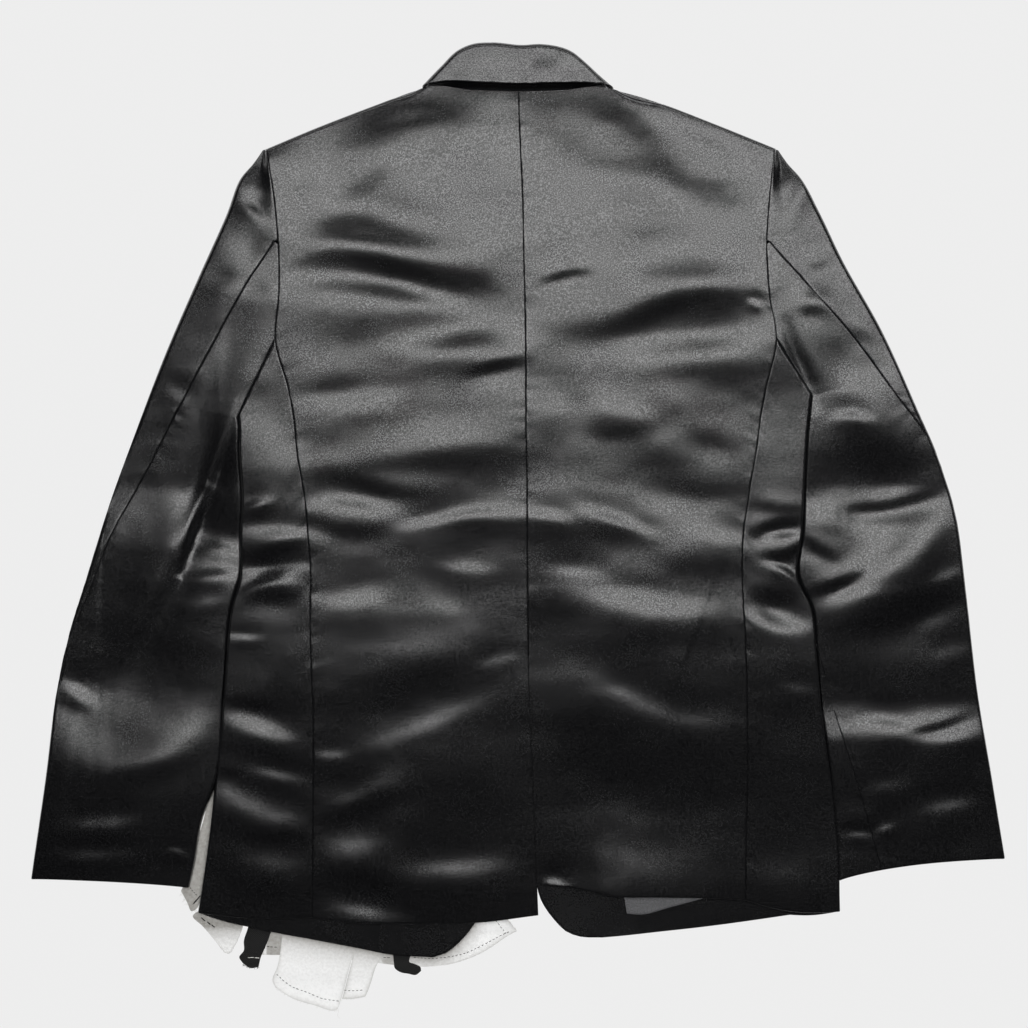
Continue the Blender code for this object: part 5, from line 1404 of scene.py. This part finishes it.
def makeFlap(side):
    # Rows across the flap: hidden and near the fold it follows the body's underside, and past the
    # fold it lies on the sleeve
    sign = -1 if side == "left" else 1
    place = flapPlaces[side]
    over = heightOver([f"cloth_sleeve_{side}_under", f"cloth_sleeve_{side}_upper"])
    down = crowded(flapGrid["down"], flapGrid["height"])
    foldY = place["tipTop"][1] + (place["tipLow"][1] - place["tipTop"][1]) * down
    foldX = bodyAt(side + "_fold", foldY)
    tipX = place["tipTop"][0] + (place["tipLow"][0] - place["tipTop"][0]) * down
    tipX = sign * np.maximum(sign * tipX, sign * foldX + 1.0)
    innerY = place["innerTop"] + (place["innerFoot"] - place["innerTop"]) * down
    flat = np.linspace(0, 1, flapGrid["hidden"])[:-1]
    nearFold = -np.linspace(flapNear, 0, flapGrid["fold"])
    beyond = np.linspace(0, 1, flapGrid["tip"])[1:]
    startX = np.full((len(down), 1), sign * flapInnerX)
    hidden = startX + (foldX[:, None] - sign * flapNear - startX) * flat
    folded = foldX[:, None] + sign * nearFold
    shown = foldX[:, None] + (tipX - foldX)[:, None] * beyond
    x = np.concatenate([hidden, folded, shown], axis=1)
    share = np.clip((x - x[:, :1]) / (x[:, -1:] - x[:, :1]), 0, 1)
    y = innerY[:, None] + (foldY - innerY)[:, None] * share
    under = bodyPoint(x, y, "under", 0.0, side)[..., 2] - underRelief(x, y) - layerGap
    inside = np.broadcast_to(np.arange(x.shape[1]) < len(flat) + len(nearFold), x.shape)
    low = np.where(inside, under - singleLayer, 0.0)
    for i, j in zip(*np.nonzero(~inside)):
        low[i, j] = max(over(x[i, j] + sign * past, y[i, j]) for past in (0.0, 0.5, 1.0)) + flapClear
    low = np.where(inside, low, np.maximum.accumulate(low, axis=1))
    low = np.maximum(low, 0.0)
    bottom = np.stack([x, y, low], axis=-1)
    top = np.stack([x, y, low + singleLayer], axis=-1)
    clothPiece("flap_" + side, top, bottom, satin, "satin")


for side in ("left", "right"):
    makeFlap(side)
print("flaps made")

# Lapels and collar ends under the fronts, and the grey patch inside the right front: each
# is a strip between two edges that run down together
flatPieces = {
    "lapel_left": {
        "left": ((-78, 350), (-112, 318), (-128, 300), (-118, 240), (-88, 160), (-42, 102), (-9, 87)),
        "right": ((-76, 348), (-62, 290), (-47, 230), (-28, 160), (-8, 86)),
    },
    "lapel_right": {
        "left": ((79, 348), (66, 290), (55, 230), (39, 160), (22, 86)),
        "right": ((81, 350), (115, 318), (131, 300), (121, 240), (93, 160), (52, 102), (23, 87)),
    },
    "collar_end_left": {
        "left": ((-88, 378), (-128, 356), (-132, 326)), "right": ((-86, 376), (-81, 355), (-114, 322)),
    },
    "collar_end_right": {
        "left": ((89, 374), (84, 355), (117, 322)), "right": ((91, 376), (131, 354), (135, 326)),
    },
    "inner_patch": {
        "left": ((94, -300), (94, -327), (96, -340)), "right": ((166, -300), (166, -313), (166, -326)),
        "bottom": ((106, -341), (136, -334)),
        "low": clothWall + singleLayer + 2 * layerGap, "thick": singleLayer,
    },
}


flatGrid = {"across": 22, "down": 50}
flatRounding = {"share": 0.35, "side": 14, "end": 20}


def makeFlatPiece(name, material, slot):
    # A flat plate between its edges, its rim rounded by a quarter circle
    piece = flatPieces[name]
    thick = piece.get("thick", collarWall)
    across, down = np.linspace(0, 1, flatGrid["across"]), np.linspace(0, 1, flatGrid["down"])
    left, right = curve(piece["left"], down), curve(piece["right"], down)
    plan = patchBetween(left, right, across, down, bottom=piece.get("bottom", ()))
    low = np.full(plan.shape[:2], piece.get("low", 0.0))
    if name == "inner_patch":
        low = low + underRelief(plan[..., 0], plan[..., 1])
    fromSide = np.minimum(across, 1 - across)[None, :] * flatRounding["side"]
    fromEnd = np.minimum(down, 1 - down)[:, None] * flatRounding["end"]
    rounding = flatRounding["share"] * thick * (1 - quarter(np.minimum(fromSide, fromEnd)))
    grids = atLevels(plan, (low + thick - rounding, low + rounding))
    clothPiece(name, *grids, material, slot)


for name in flatPieces:
    if name == "inner_patch":
        makeFlatPiece(name, greySatin, "grey_satin")
    else:
        makeFlatPiece(name, satin, "satin")
print("lapels and collar ends made")

# White and black pieces stitched to the left front: left and right edges from the top down,
# the points between them at the lower end, and where the piece droops to the floor
strips = {
    "patch_wide": {
        "left": ((-206, -335), (-208, -358), (-209.5, -372), (-212, -386), (-216.5, -401), (-214, -406)),
        "right": ((-141, -335), (-144, -370), (-146.5, -380), (-150, -393), (-153.5, -407), (-156, -416)),
        "end": ((-201, -414.5), (-180, -421.5), (-160, -425.2)), "droop": -390.0,
    },
    "patch_narrow": {
        "left": (
            (-140.4, -335), (-143.4, -370), (-145.9, -380), (-149.4, -393), (-152.9, -407),
            (-155.4, -416),
        ),
        "right": ((-120, -335), (-121, -378), (-126, -389), (-130, -402), (-133, -410), (-135, -414)),
        "end": ((-143, -415.5),), "droop": -390.0,
    },
    "tab_black_left": {
        "left": ((-239, -330), (-238, -351), (-242, -365), (-242, -373), (-246, -379), (-243, -384)),
        "right": ((-217, -330), (-218, -356), (-221, -365), (-224, -372), (-227, -379), (-229, -387.5)),
        "end": ((-236, -388.5),), "droop": -390.0,
    },
    "tab_black_right": {
        "left": ((-110, -350), (-110, -377), (-109.5, -384), (-109, -388), (-104, -392), (-97, -393.5)),
        "right": ((-94, -350), (-95, -378), (-96, -383), (-91, -385), (-86, -388), (-85.5, -391)),
        "end": ((-90, -394.5),), "droop": -390.0,
    },
    "tab_round": {
        "left": ((-262, -324), (-278, -336), (-287, -342.5), (-279, -351), (-268, -364), (-259.5, -375)),
        "right": ((-246, -324), (-244, -334), (-243, -342), (-243, -352), (-246, -361), (-253, -374.5)),
        "end": ((-256, -376),), "droop": -344.0,
    },
    "side_strip": {
        "left": ((-268, -215), (-271.5, -231), (-279, -262), (-288, -290), (-294, -312), (-297.5, -320.5)),
        "right": ((-258, -215), (-260.5, -231), (-264.5, -262), (-268.5, -290), (-273, -310), (-281, -330)),
        "end": ((-292, -331), (-288, -338.5), (-283.5, -336)), "droop": None,
    },
}
droopLength = 16.0
bandEdges = {
    "inner": (
        (-224, -338), (-180, -344), (-140, -351), (-100, -356), (-70, -354), (-48, -340), (-30, -330),
    ),
    "outer": (
        (-226, -377), (-180, -378), (-140, -382), (-108, -386), (-84, -387.5), (-59, -385),
        (-40, -379), (-23, -370), (-11, -361.5), (-1, -356),
    ),
    "end": (-9, -346),
}
# Painted shade on the cotton: a shadow fading out from the jacket's edge, darker rims along each piece's
# edges, and shadowed stretches of the hem band
paintedShadowReach = 11.0
paintedRimShade = {"patch_wide": 0.45, "patch_narrow": 0.6, "hem_band": 0.5, "tab_round": 0.55, "side_strip": 0.3}
paintedRimReach = 2.2
paintedJacketShadow = 0.9
# Stretches of painted shadow: start, stop, how grey
paintedShadowPlaces = {"hem_band": ((-224, -204, 0.85), (-122, -106, 0.75))}
paintedShadowRamp = 3.0
cottonWave = {"height": 0.22, "step": 9}
stripGrid = {"across": 30, "down": 56}
bandGrid = {"across": 150, "down": 26}


def cottonLayer(name, plan, low, material, slot):
    # One layer on the levels given, wavy on top by smooth noise; its painted shade, darkest by the jacket's
    # edge and along its own rim, fades exponentially away from both
    x, y = plan[..., 0], plan[..., 1]
    wave = cottonWave["height"] * (0.5 + 0.5 * unevenness(x, y, cottonWave["step"], 31))
    grids = atLevels(plan, (low + singleLayer + wave, low))
    # Painted shadow that fades away below the jacket's edge
    edge = np.array(frontHem["left"] + frontEdge["left"][-2:-8:-1], float)
    order = np.argsort(edge[:, 0])
    below = np.interp(x, edge[order, 0], edge[order, 1]) - y
    shade = paintedJacketShadow * np.exp(-np.clip(below, 0, None) / paintedShadowReach)
    # Painted shade along the piece's own rim
    if name in paintedRimShade:
        across = np.linalg.norm(plan - plan[:, :1], axis=2)
        toSide = np.minimum(across, across[:, -1:] - across)
        toRim = np.minimum(toSide, np.linalg.norm(plan - plan[-1:], axis=2))
        shade = np.maximum(shade, paintedRimShade[name] * np.exp(-toRim / paintedRimReach))
    # Painted shadow over the listed stretches, eased in at their ends
    for start, stop, grey in paintedShadowPlaces.get(name, ()):
        inside = ease((x - start) / paintedShadowRamp) * ease((stop - x) / paintedShadowRamp)
        shade = np.maximum(shade, grey * inside)
    piece = clothPiece(name, *grids, material, slot)
    layer = piece.data.attributes.new("shade", "FLOAT", "POINT")
    layer.data.foreach_set("value", np.concatenate([shade.ravel(), shade.ravel()]).astype(np.float32))


def makeStrip(name, material, slot):
    # A patch between its edges on the layer below, eased down to the floor past its droop
    strip = strips[name]
    across, down = np.linspace(0, 1, stripGrid["across"]), np.linspace(0, 1, stripGrid["down"])
    left, right = curve(strip["left"], down), curve(strip["right"], down)
    plan = patchBetween(left, right, across, down, bottom=strip["end"])
    low = np.zeros(plan.shape[:2])
    if strip["droop"] is not None:
        low = lowLayer * (1 - ease((strip["droop"] - plan[..., 1]) / droopLength))
    cottonLayer(name, plan, low, material, slot)


def makeHemBand():
    # A patch between the band's inner and outer edges, on the floor
    across, down = np.linspace(0, 1, bandGrid["across"]), np.linspace(0, 1, bandGrid["down"])
    inner, outer = curve(bandEdges["inner"], across), curve(bandEdges["outer"], across)
    left = curve([tuple(inner[0]), tuple(outer[0])], down)
    right = curve([tuple(inner[-1]), bandEdges["end"], tuple(outer[-1])], down)
    plan = coonsPatch(inner, outer, left, right, across, down)
    cottonLayer("hem_band", plan, np.zeros(plan.shape[:2]), cotton, "cotton")


for name in strips:
    if "black" in name:
        makeStrip(name, tape, "tape")
    else:
        makeStrip(name, cotton, "cotton")
makeHemBand()
print("strips made")

# Buttons: discs with a raised rim and four thread holes, seen from underneath
buttonPlaces = {"button_upper": upperButton, "button_lower": (7.0, -58.0)}
buttonSizes = {
    "radius": 10.0, "thick": 2.6, "edge": 0.6, "rim": 0.7, "dish": 6.4,
    "hole": 1.0, "holeAway": 1.9, "holeDepth": 0.75, "core": 0.02,
}
buttonGrid = {"inner": (6.2, 26), "outer": (6.3, 16), "round": 72}
holeRim = {"start": 0.2, "width": 0.3}


def makeButton(name, place):
    # Two faces over the same polar grid: height is a function of the radius and the holes
    button = buttonSizes
    (innerEnd, innerCount), (outerStart, outerCount) = buttonGrid["inner"], buttonGrid["outer"]
    inside = np.linspace(button["core"], innerEnd, innerCount)
    radius = np.concatenate([inside, np.linspace(outerStart, button["radius"], outerCount)])
    angle = np.linspace(0, 2 * math.pi, buttonGrid["round"] + 1)[:-1]
    x, y = radius[:, None] * np.cos(angle), radius[:, None] * np.sin(angle)
    rounded = button["edge"] * (1 - quarter((button["radius"] - radius) / button["edge"]))[:, None]
    dish = button["rim"] * (1 - ease((radius - button["dish"]) / 1.0))[:, None]
    hole = np.zeros(x.shape)
    for corner in ((1, 1), (1, -1), (-1, 1), (-1, -1)):
        away = np.hypot(x - corner[0] * button["holeAway"], y - corner[1] * button["holeAway"])
        hole = np.maximum(hole, 1 - ease((away - button["hole"] + holeRim["start"]) / holeRim["width"]))
    low = rounded + dish + hole * button["holeDepth"]
    high = button["thick"] - rounded - hole * button["holeDepth"]
    grid = [np.stack([x + place[0], y + place[1], z + 0 * x], axis=-1) for z in (high, low)]
    count = x.size
    at = np.arange(count).reshape(x.shape)
    following = np.roll(at, -1, axis=1)
    quads = np.stack([at[:-1], at[1:], following[1:], following[:-1]], axis=-1).reshape(-1, 4)
    outer, nextOuter = at[-1], following[-1]
    rim = np.stack([outer, outer + count, nextOuter + count, nextOuter], axis=-1)
    inner, nextInner = at[0], following[0]
    core = np.stack([inner, nextInner, nextInner + count, inner + count], axis=-1)
    points = placed(np.concatenate([g.reshape(-1, 3) for g in grid]))
    mesh = solidMesh("part_" + name, points, np.concatenate([quads, quads[:, ::-1] + count, rim, core]))
    addPiece("part_" + name, mesh, horn, name)


for name, place in buttonPlaces.items():
    makeButton(name, place)
print("buttons made")


# Threads: sides of a ring and its size at the ends; rise, sinking, straying, points and the
# spread of length and gap of a running stitch; points of a single one
threadSides = 6
threadTip = 0.1
runningLook = {
    "lift": 0.25, "sunk": 0.05, "wander": 0.12, "points": 7, "long": (0.8, 1.15), "gap": (0.8, 1.25),
}
singlePoints = 9
# A loose fibre: its points, turn and bend, its least share of the length, its levels
fibreLook = {
    "points": 6, "turn": 0.9, "bend": 0.35, "shortest": 0.3, "below": 0.4, "fall": 0.6, "least": 0.15,
    "beside": 0.05,
}


def tubes(lines, radius):
    # Hexagonal rings of one radius round each line of points, narrowed at its closed ends
    points, quads = [], []
    begun = 0
    for line in lines:
        line = np.asarray(line, float)
        ahead = np.gradient(line, axis=0)
        ahead /= np.linalg.norm(ahead, axis=1, keepdims=True)
        sideways = np.cross(ahead, (0.0, 0.0, 1.0))
        sideways /= np.maximum(np.linalg.norm(sideways, axis=1, keepdims=True), 1e-6)
        up = np.cross(sideways, ahead)
        angle = np.arange(threadSides) * 2 * math.pi / threadSides
        size = np.full(len(line), radius)
        size[[0, -1]] = radius * threadTip
        ring = sideways[:, None] * np.cos(angle)[None, :, None] + up[:, None] * np.sin(angle)[None, :, None]
        points.append((line[:, None] + ring * size[:, None, None]).reshape(-1, 3))
        at = begun + np.arange(len(line) * threadSides).reshape(len(line), threadSides)
        following = np.roll(at, -1, axis=1)
        quads.append(np.stack([at[:-1], following[:-1], following[1:], at[1:]], axis=-1).reshape(-1, 4))
        for ends in (at[0], at[-1][::-1]):
            quads.append(np.array([ends[:4][::-1], ends[[0, 3, 4, 5]][::-1]]))
        begun += len(line) * threadSides
    return placed(np.concatenate(points)), np.concatenate(quads)


def addThreads(name, lines, radius, material):
    points, quads = tubes(lines, radius)
    addPiece(name, solidMesh(name, points, quads), material)


def stitchLine(path, over, length, gap, seed):
    # Running stitches along a path, uneven in length, each risen by half a sine wave
    path = np.array(path, float)
    total = lengthsAlong(path)[-1]
    chance = np.random.default_rng(seed)
    wander, count = runningLook["wander"], runningLook["points"]
    lines, at = [], 0.0
    while at + length < total:
        long = length * chance.uniform(*runningLook["long"])
        steps = np.linspace(at, min(at + long, total), count) / total
        plan = curve(path, steps) + chance.uniform(-wander, wander, 2)
        arc = runningLook["lift"] * np.sin(np.linspace(0, math.pi, count))
        z = np.array([over(*p) for p in plan]) + arc - runningLook["sunk"]
        lines.append(np.column_stack([plan, z]))
        at += long + gap * chance.uniform(*runningLook["gap"])
    return lines


def singleStitches(pairs, over, lifted=0.4):
    # Separate stitches from one plan point to another, each risen by half a sine wave
    lines = []
    for start, stop in pairs:
        plan = np.linspace(start, stop, singlePoints)
        arc = lifted * np.sin(np.linspace(0, math.pi, singlePoints))
        z = np.array([over(*p) for p in plan]) + arc
        lines.append(np.column_stack([plan, z]))
    return lines


def frayedEdge(path, over, count, long, seed):
    # Loose fibres that leave an edge on its left, bent as a square of their length and sinking
    look, chance = fibreLook, np.random.default_rng(seed)
    lines = []
    for share in chance.uniform(0, 1, count):
        around = (max(share - look["beside"], 0.0), share, min(share + look["beside"], 1.0))
        before, root, after = curve(path, around)
        ahead = after - before
        out = np.array((-ahead[1], ahead[0])) / max(np.hypot(*ahead), 1e-6)
        turn = chance.uniform(-look["turn"], look["turn"])
        cosine, sine = math.cos(turn), math.sin(turn)
        out = np.array((out[0] * cosine - out[1] * sine, out[0] * sine + out[1] * cosine))
        reach = long * chance.uniform(look["shortest"], 1.0)
        t = np.linspace(0, 1, look["points"])
        bend = chance.uniform(-look["bend"], look["bend"]) * reach
        plan = root + out * reach * t[:, None] + np.array((-out[1], out[0])) * bend * (t**2)[:, None]
        z = np.maximum(over(*root) - look["below"] - look["fall"] * t, look["least"])
        lines.append(np.column_stack([plan, z]))
    return lines


# Hand stitches and loose fibres of the white pieces, and the layers that they lie on
liesOn = {
    "strip": heightOver(["cloth_side_strip"]),
    "tab": heightOver(["cloth_tab_round"]),
    "patches": heightOver(["cloth_patch_wide", "cloth_patch_narrow", "cloth_hem_band"]),
    "black tab": heightOver(["cloth_tab_black_left"]),
}
# Layer, path, stitch length, gap
runningStitches = (
    ("strip", ((-289.5, -317.7), (-286.4, -321.6), (-283.2, -325.0)), 1.6, 1.1),
    ("patches", ((-213, -394), (-201.5, -404), (-186.6, -410), (-173.4, -415.4), (-158, -418)), 2.3, 1.5),
    ("patches", ((-153.6, -408.3), (-144, -408.8), (-134, -407.4)), 2.1, 1.4),
    ("patches", ((-92.4, -379.3), (-76.6, -380.2), (-59, -378.4), (-44.9, -374.9), (-31.7, -368.7),
                 (-18.5, -361.7), (-6, -355.5)), 2.2, 1.3),
    ("patches", ((-19.4, -346.7), (-14.2, -353.5), (-9.7, -359.6)), 2.0, 1.2),
    ("patches", ((-222, -369.6), (-209.5, -370.4)), 2.2, 1.3),
    ("patches", ((-119, -379.3), (-110.5, -379.6)), 2.6, 0.9),
)
whippedStitches = (
    ((-279.6, -343.8), (-276.0, -347.2)), ((-274.4, -347.6), (-271.2, -350.2)),
    ((-270.6, -350.2), (-267.6, -352.6)),
)
stripStitches = (((-287.4, -332.6), (-279.2, -323.6)),)
tabStitches = (((-238.5, -379.3), (-233, -379.0)), ((-232.6, -379.2), (-228, -379.6)))
# Layer, edge, count of fibres, greatest length
frayedEdges = (
    ("strip", ((-288, -338.5), (-292, -331), (-297.5, -320.5)), 16, 4.5),
    ("strip", ((-281, -330), (-283.5, -336), (-288, -338.5)), 10, 3.5),
    ("patches", ((-11, -361.5), (-1, -356), (-9, -346), (-30, -330)), 24, 5.0),
    ("patches", ((-156, -416), (-160, -425.2), (-180, -421.5), (-201, -414.5), (-214, -406)), 22, 2.2),
    ("patches", ((-135, -414), (-143, -415.5), (-155.4, -416)), 8, 1.8),
)
tabFrays = ((-229, -387.5), (-236, -388.5), (-243, -384))
hangingThread = ((-159.5, -424, 0.6), (-158.6, -427, 0.3), (-159.4, -430.5, 0.2), (-157.2, -433.6, 0.2))
threadRadius = {"hem": 0.28, "whipped": 0.5, "tab": 0.3, "white": 0.11, "black": 0.14}


def makeStitches():
    running = []
    for seed, (layer, path, length, gap) in enumerate(runningStitches, 2):
        running += stitchLine(path, liesOn[layer], length, gap, seed)
    addThreads("stitches_hem", running, threadRadius["hem"], blackThread)
    whipped = singleStitches(whippedStitches, liesOn["tab"])
    whipped += singleStitches(stripStitches, liesOn["strip"])
    addThreads("stitches_whipped", whipped, threadRadius["whipped"], blackThread)
    folded = singleStitches(tabStitches, liesOn["black tab"], 0.3)
    addThreads("stitches_tab", folded, threadRadius["tab"], paleThread)


def makeFrays():
    loose = []
    for seed, (layer, path, count, long) in enumerate(frayedEdges, 41):
        loose += frayedEdge(path, liesOn[layer], count, long, seed)
    loose.append(curve(hangingThread, np.linspace(0, 1, 14)))
    addThreads("fibres_white", loose, threadRadius["white"], paleThread)
    dark = frayedEdge(tabFrays, liesOn["black tab"], 18, 3.4, 46)
    addThreads("fibres_black", dark, threadRadius["black"], blackThread)


makeStitches()
makeFrays()
print("threads made")

# Floor, lights and camera
stageSizes = {"floor": 12.0, "level": -0.0003, "glow": 0.846}
lampPlaces = (
    {"name": "softbox", "at": (0.235, 0.60, 2.4), "size": (2.17, 0.88), "watts": 32.5, "turn": 5.0},
    {
        "name": "window", "at": (0.2, 1.5, 1.2), "size": (2.0, 0.5), "watts": 12.0,
        "towards": (0.0, -0.1, 0.0),
    },
    {"name": "fill", "at": (0.0, -0.4, 2.3), "size": (1.4, 1.4), "watts": 36.0, "glossy": False},
)
horizonGlow, zenithGlow = 0.22, 0.015
# Heights in metres of the camera and of the level where the width shown is measured
cameraHeight = 2.2
focusLevel = 0.009
cameraOver = (-3.5, 12.3)
shownWidth = 904.6
sensorWidth = 36.0


def makeFloor():
    # A plain pale square, a little below the jacket
    half, level = stageSizes["floor"] / 2, stageSizes["level"]
    corners = [(x * half, y * half, level) for x, y in ((-1, -1), (1, -1), (1, 1), (-1, 1))]
    mesh = bpy.data.meshes.new("floor")
    mesh.from_pydata(corners, [], [(0, 1, 2, 3)])
    glow = {"Emission Color": (1, 1, 1, 1), "Emission Strength": stageSizes["glow"]}
    glow["Specular IOR Level"] = 0.0
    mesh.materials.append(newMaterial("scene_floor", (0.004, 0.004, 0.004), 0.9, glow))
    floor = bpy.data.objects.new("floor", mesh)
    bpy.context.scene.collection.objects.link(floor)
    floor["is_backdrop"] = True


def makeLamps():
    for place in lampPlaces:
        light = bpy.data.lights.new(place["name"], "AREA")
        light.shape = "RECTANGLE"
        light.size, light.size_y = place["size"]
        light.energy = place["watts"]
        lamp = bpy.data.objects.new(place["name"], light)
        lamp.location = place["at"]
        if "towards" in place:
            direction = Vector(place["towards"]) - Vector(place["at"])
            lamp.rotation_euler = direction.to_track_quat("-Z", "Y").to_euler()
        lamp.rotation_euler.z += math.radians(place.get("turn", 0.0))
        lamp.visible_glossy = place.get("glossy", True)
        bpy.context.scene.collection.objects.link(lamp)


def makeCamera():
    camera = bpy.data.cameras.new("camera")
    camera.sensor_width = sensorWidth
    camera.lens = sensorWidth * (cameraHeight - focusLevel) / (shownWidth * metre)
    holder = bpy.data.objects.new("camera", camera)
    holder.location = (cameraOver[0] * metre + shift[0], cameraOver[1] * metre + shift[1], cameraHeight)
    bpy.context.scene.collection.objects.link(holder)
    bpy.context.scene.camera = holder


def makeWorld():
    # White light, brighter towards the horizon than overhead
    world = bpy.data.worlds.new("studio")
    world.use_nodes = True
    background = world.node_tree.nodes["Background"]
    background.inputs["Color"].default_value = (1, 1, 1, 1)
    tree = world.node_tree
    direction = tree.nodes.new("ShaderNodeTexCoord")
    parts = tree.nodes.new("ShaderNodeSeparateXYZ")
    band = tree.nodes.new("ShaderNodeMapRange")
    tree.links.new(direction.outputs["Generated"], parts.inputs[0])
    tree.links.new(parts.outputs["Z"], band.inputs["Value"])
    spread = {"From Min": 0.0, "From Max": 0.5, "To Min": horizonGlow, "To Max": zenithGlow}
    for socket, value in spread.items():
        band.inputs[socket].default_value = value
    tree.links.new(band.outputs["Result"], background.inputs["Strength"])
    bpy.context.scene.world = world
    bpy.context.scene.view_settings.view_transform = "Standard"


makeFloor()
makeLamps()
makeCamera()
makeWorld()
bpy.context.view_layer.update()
print("stage made")
cloths = [piece.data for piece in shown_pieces() if piece.name[:4] in ("clot", "part")]
print("triangles", sum(len(mesh.loops) - 2 * len(mesh.polygons) for mesh in cloths))
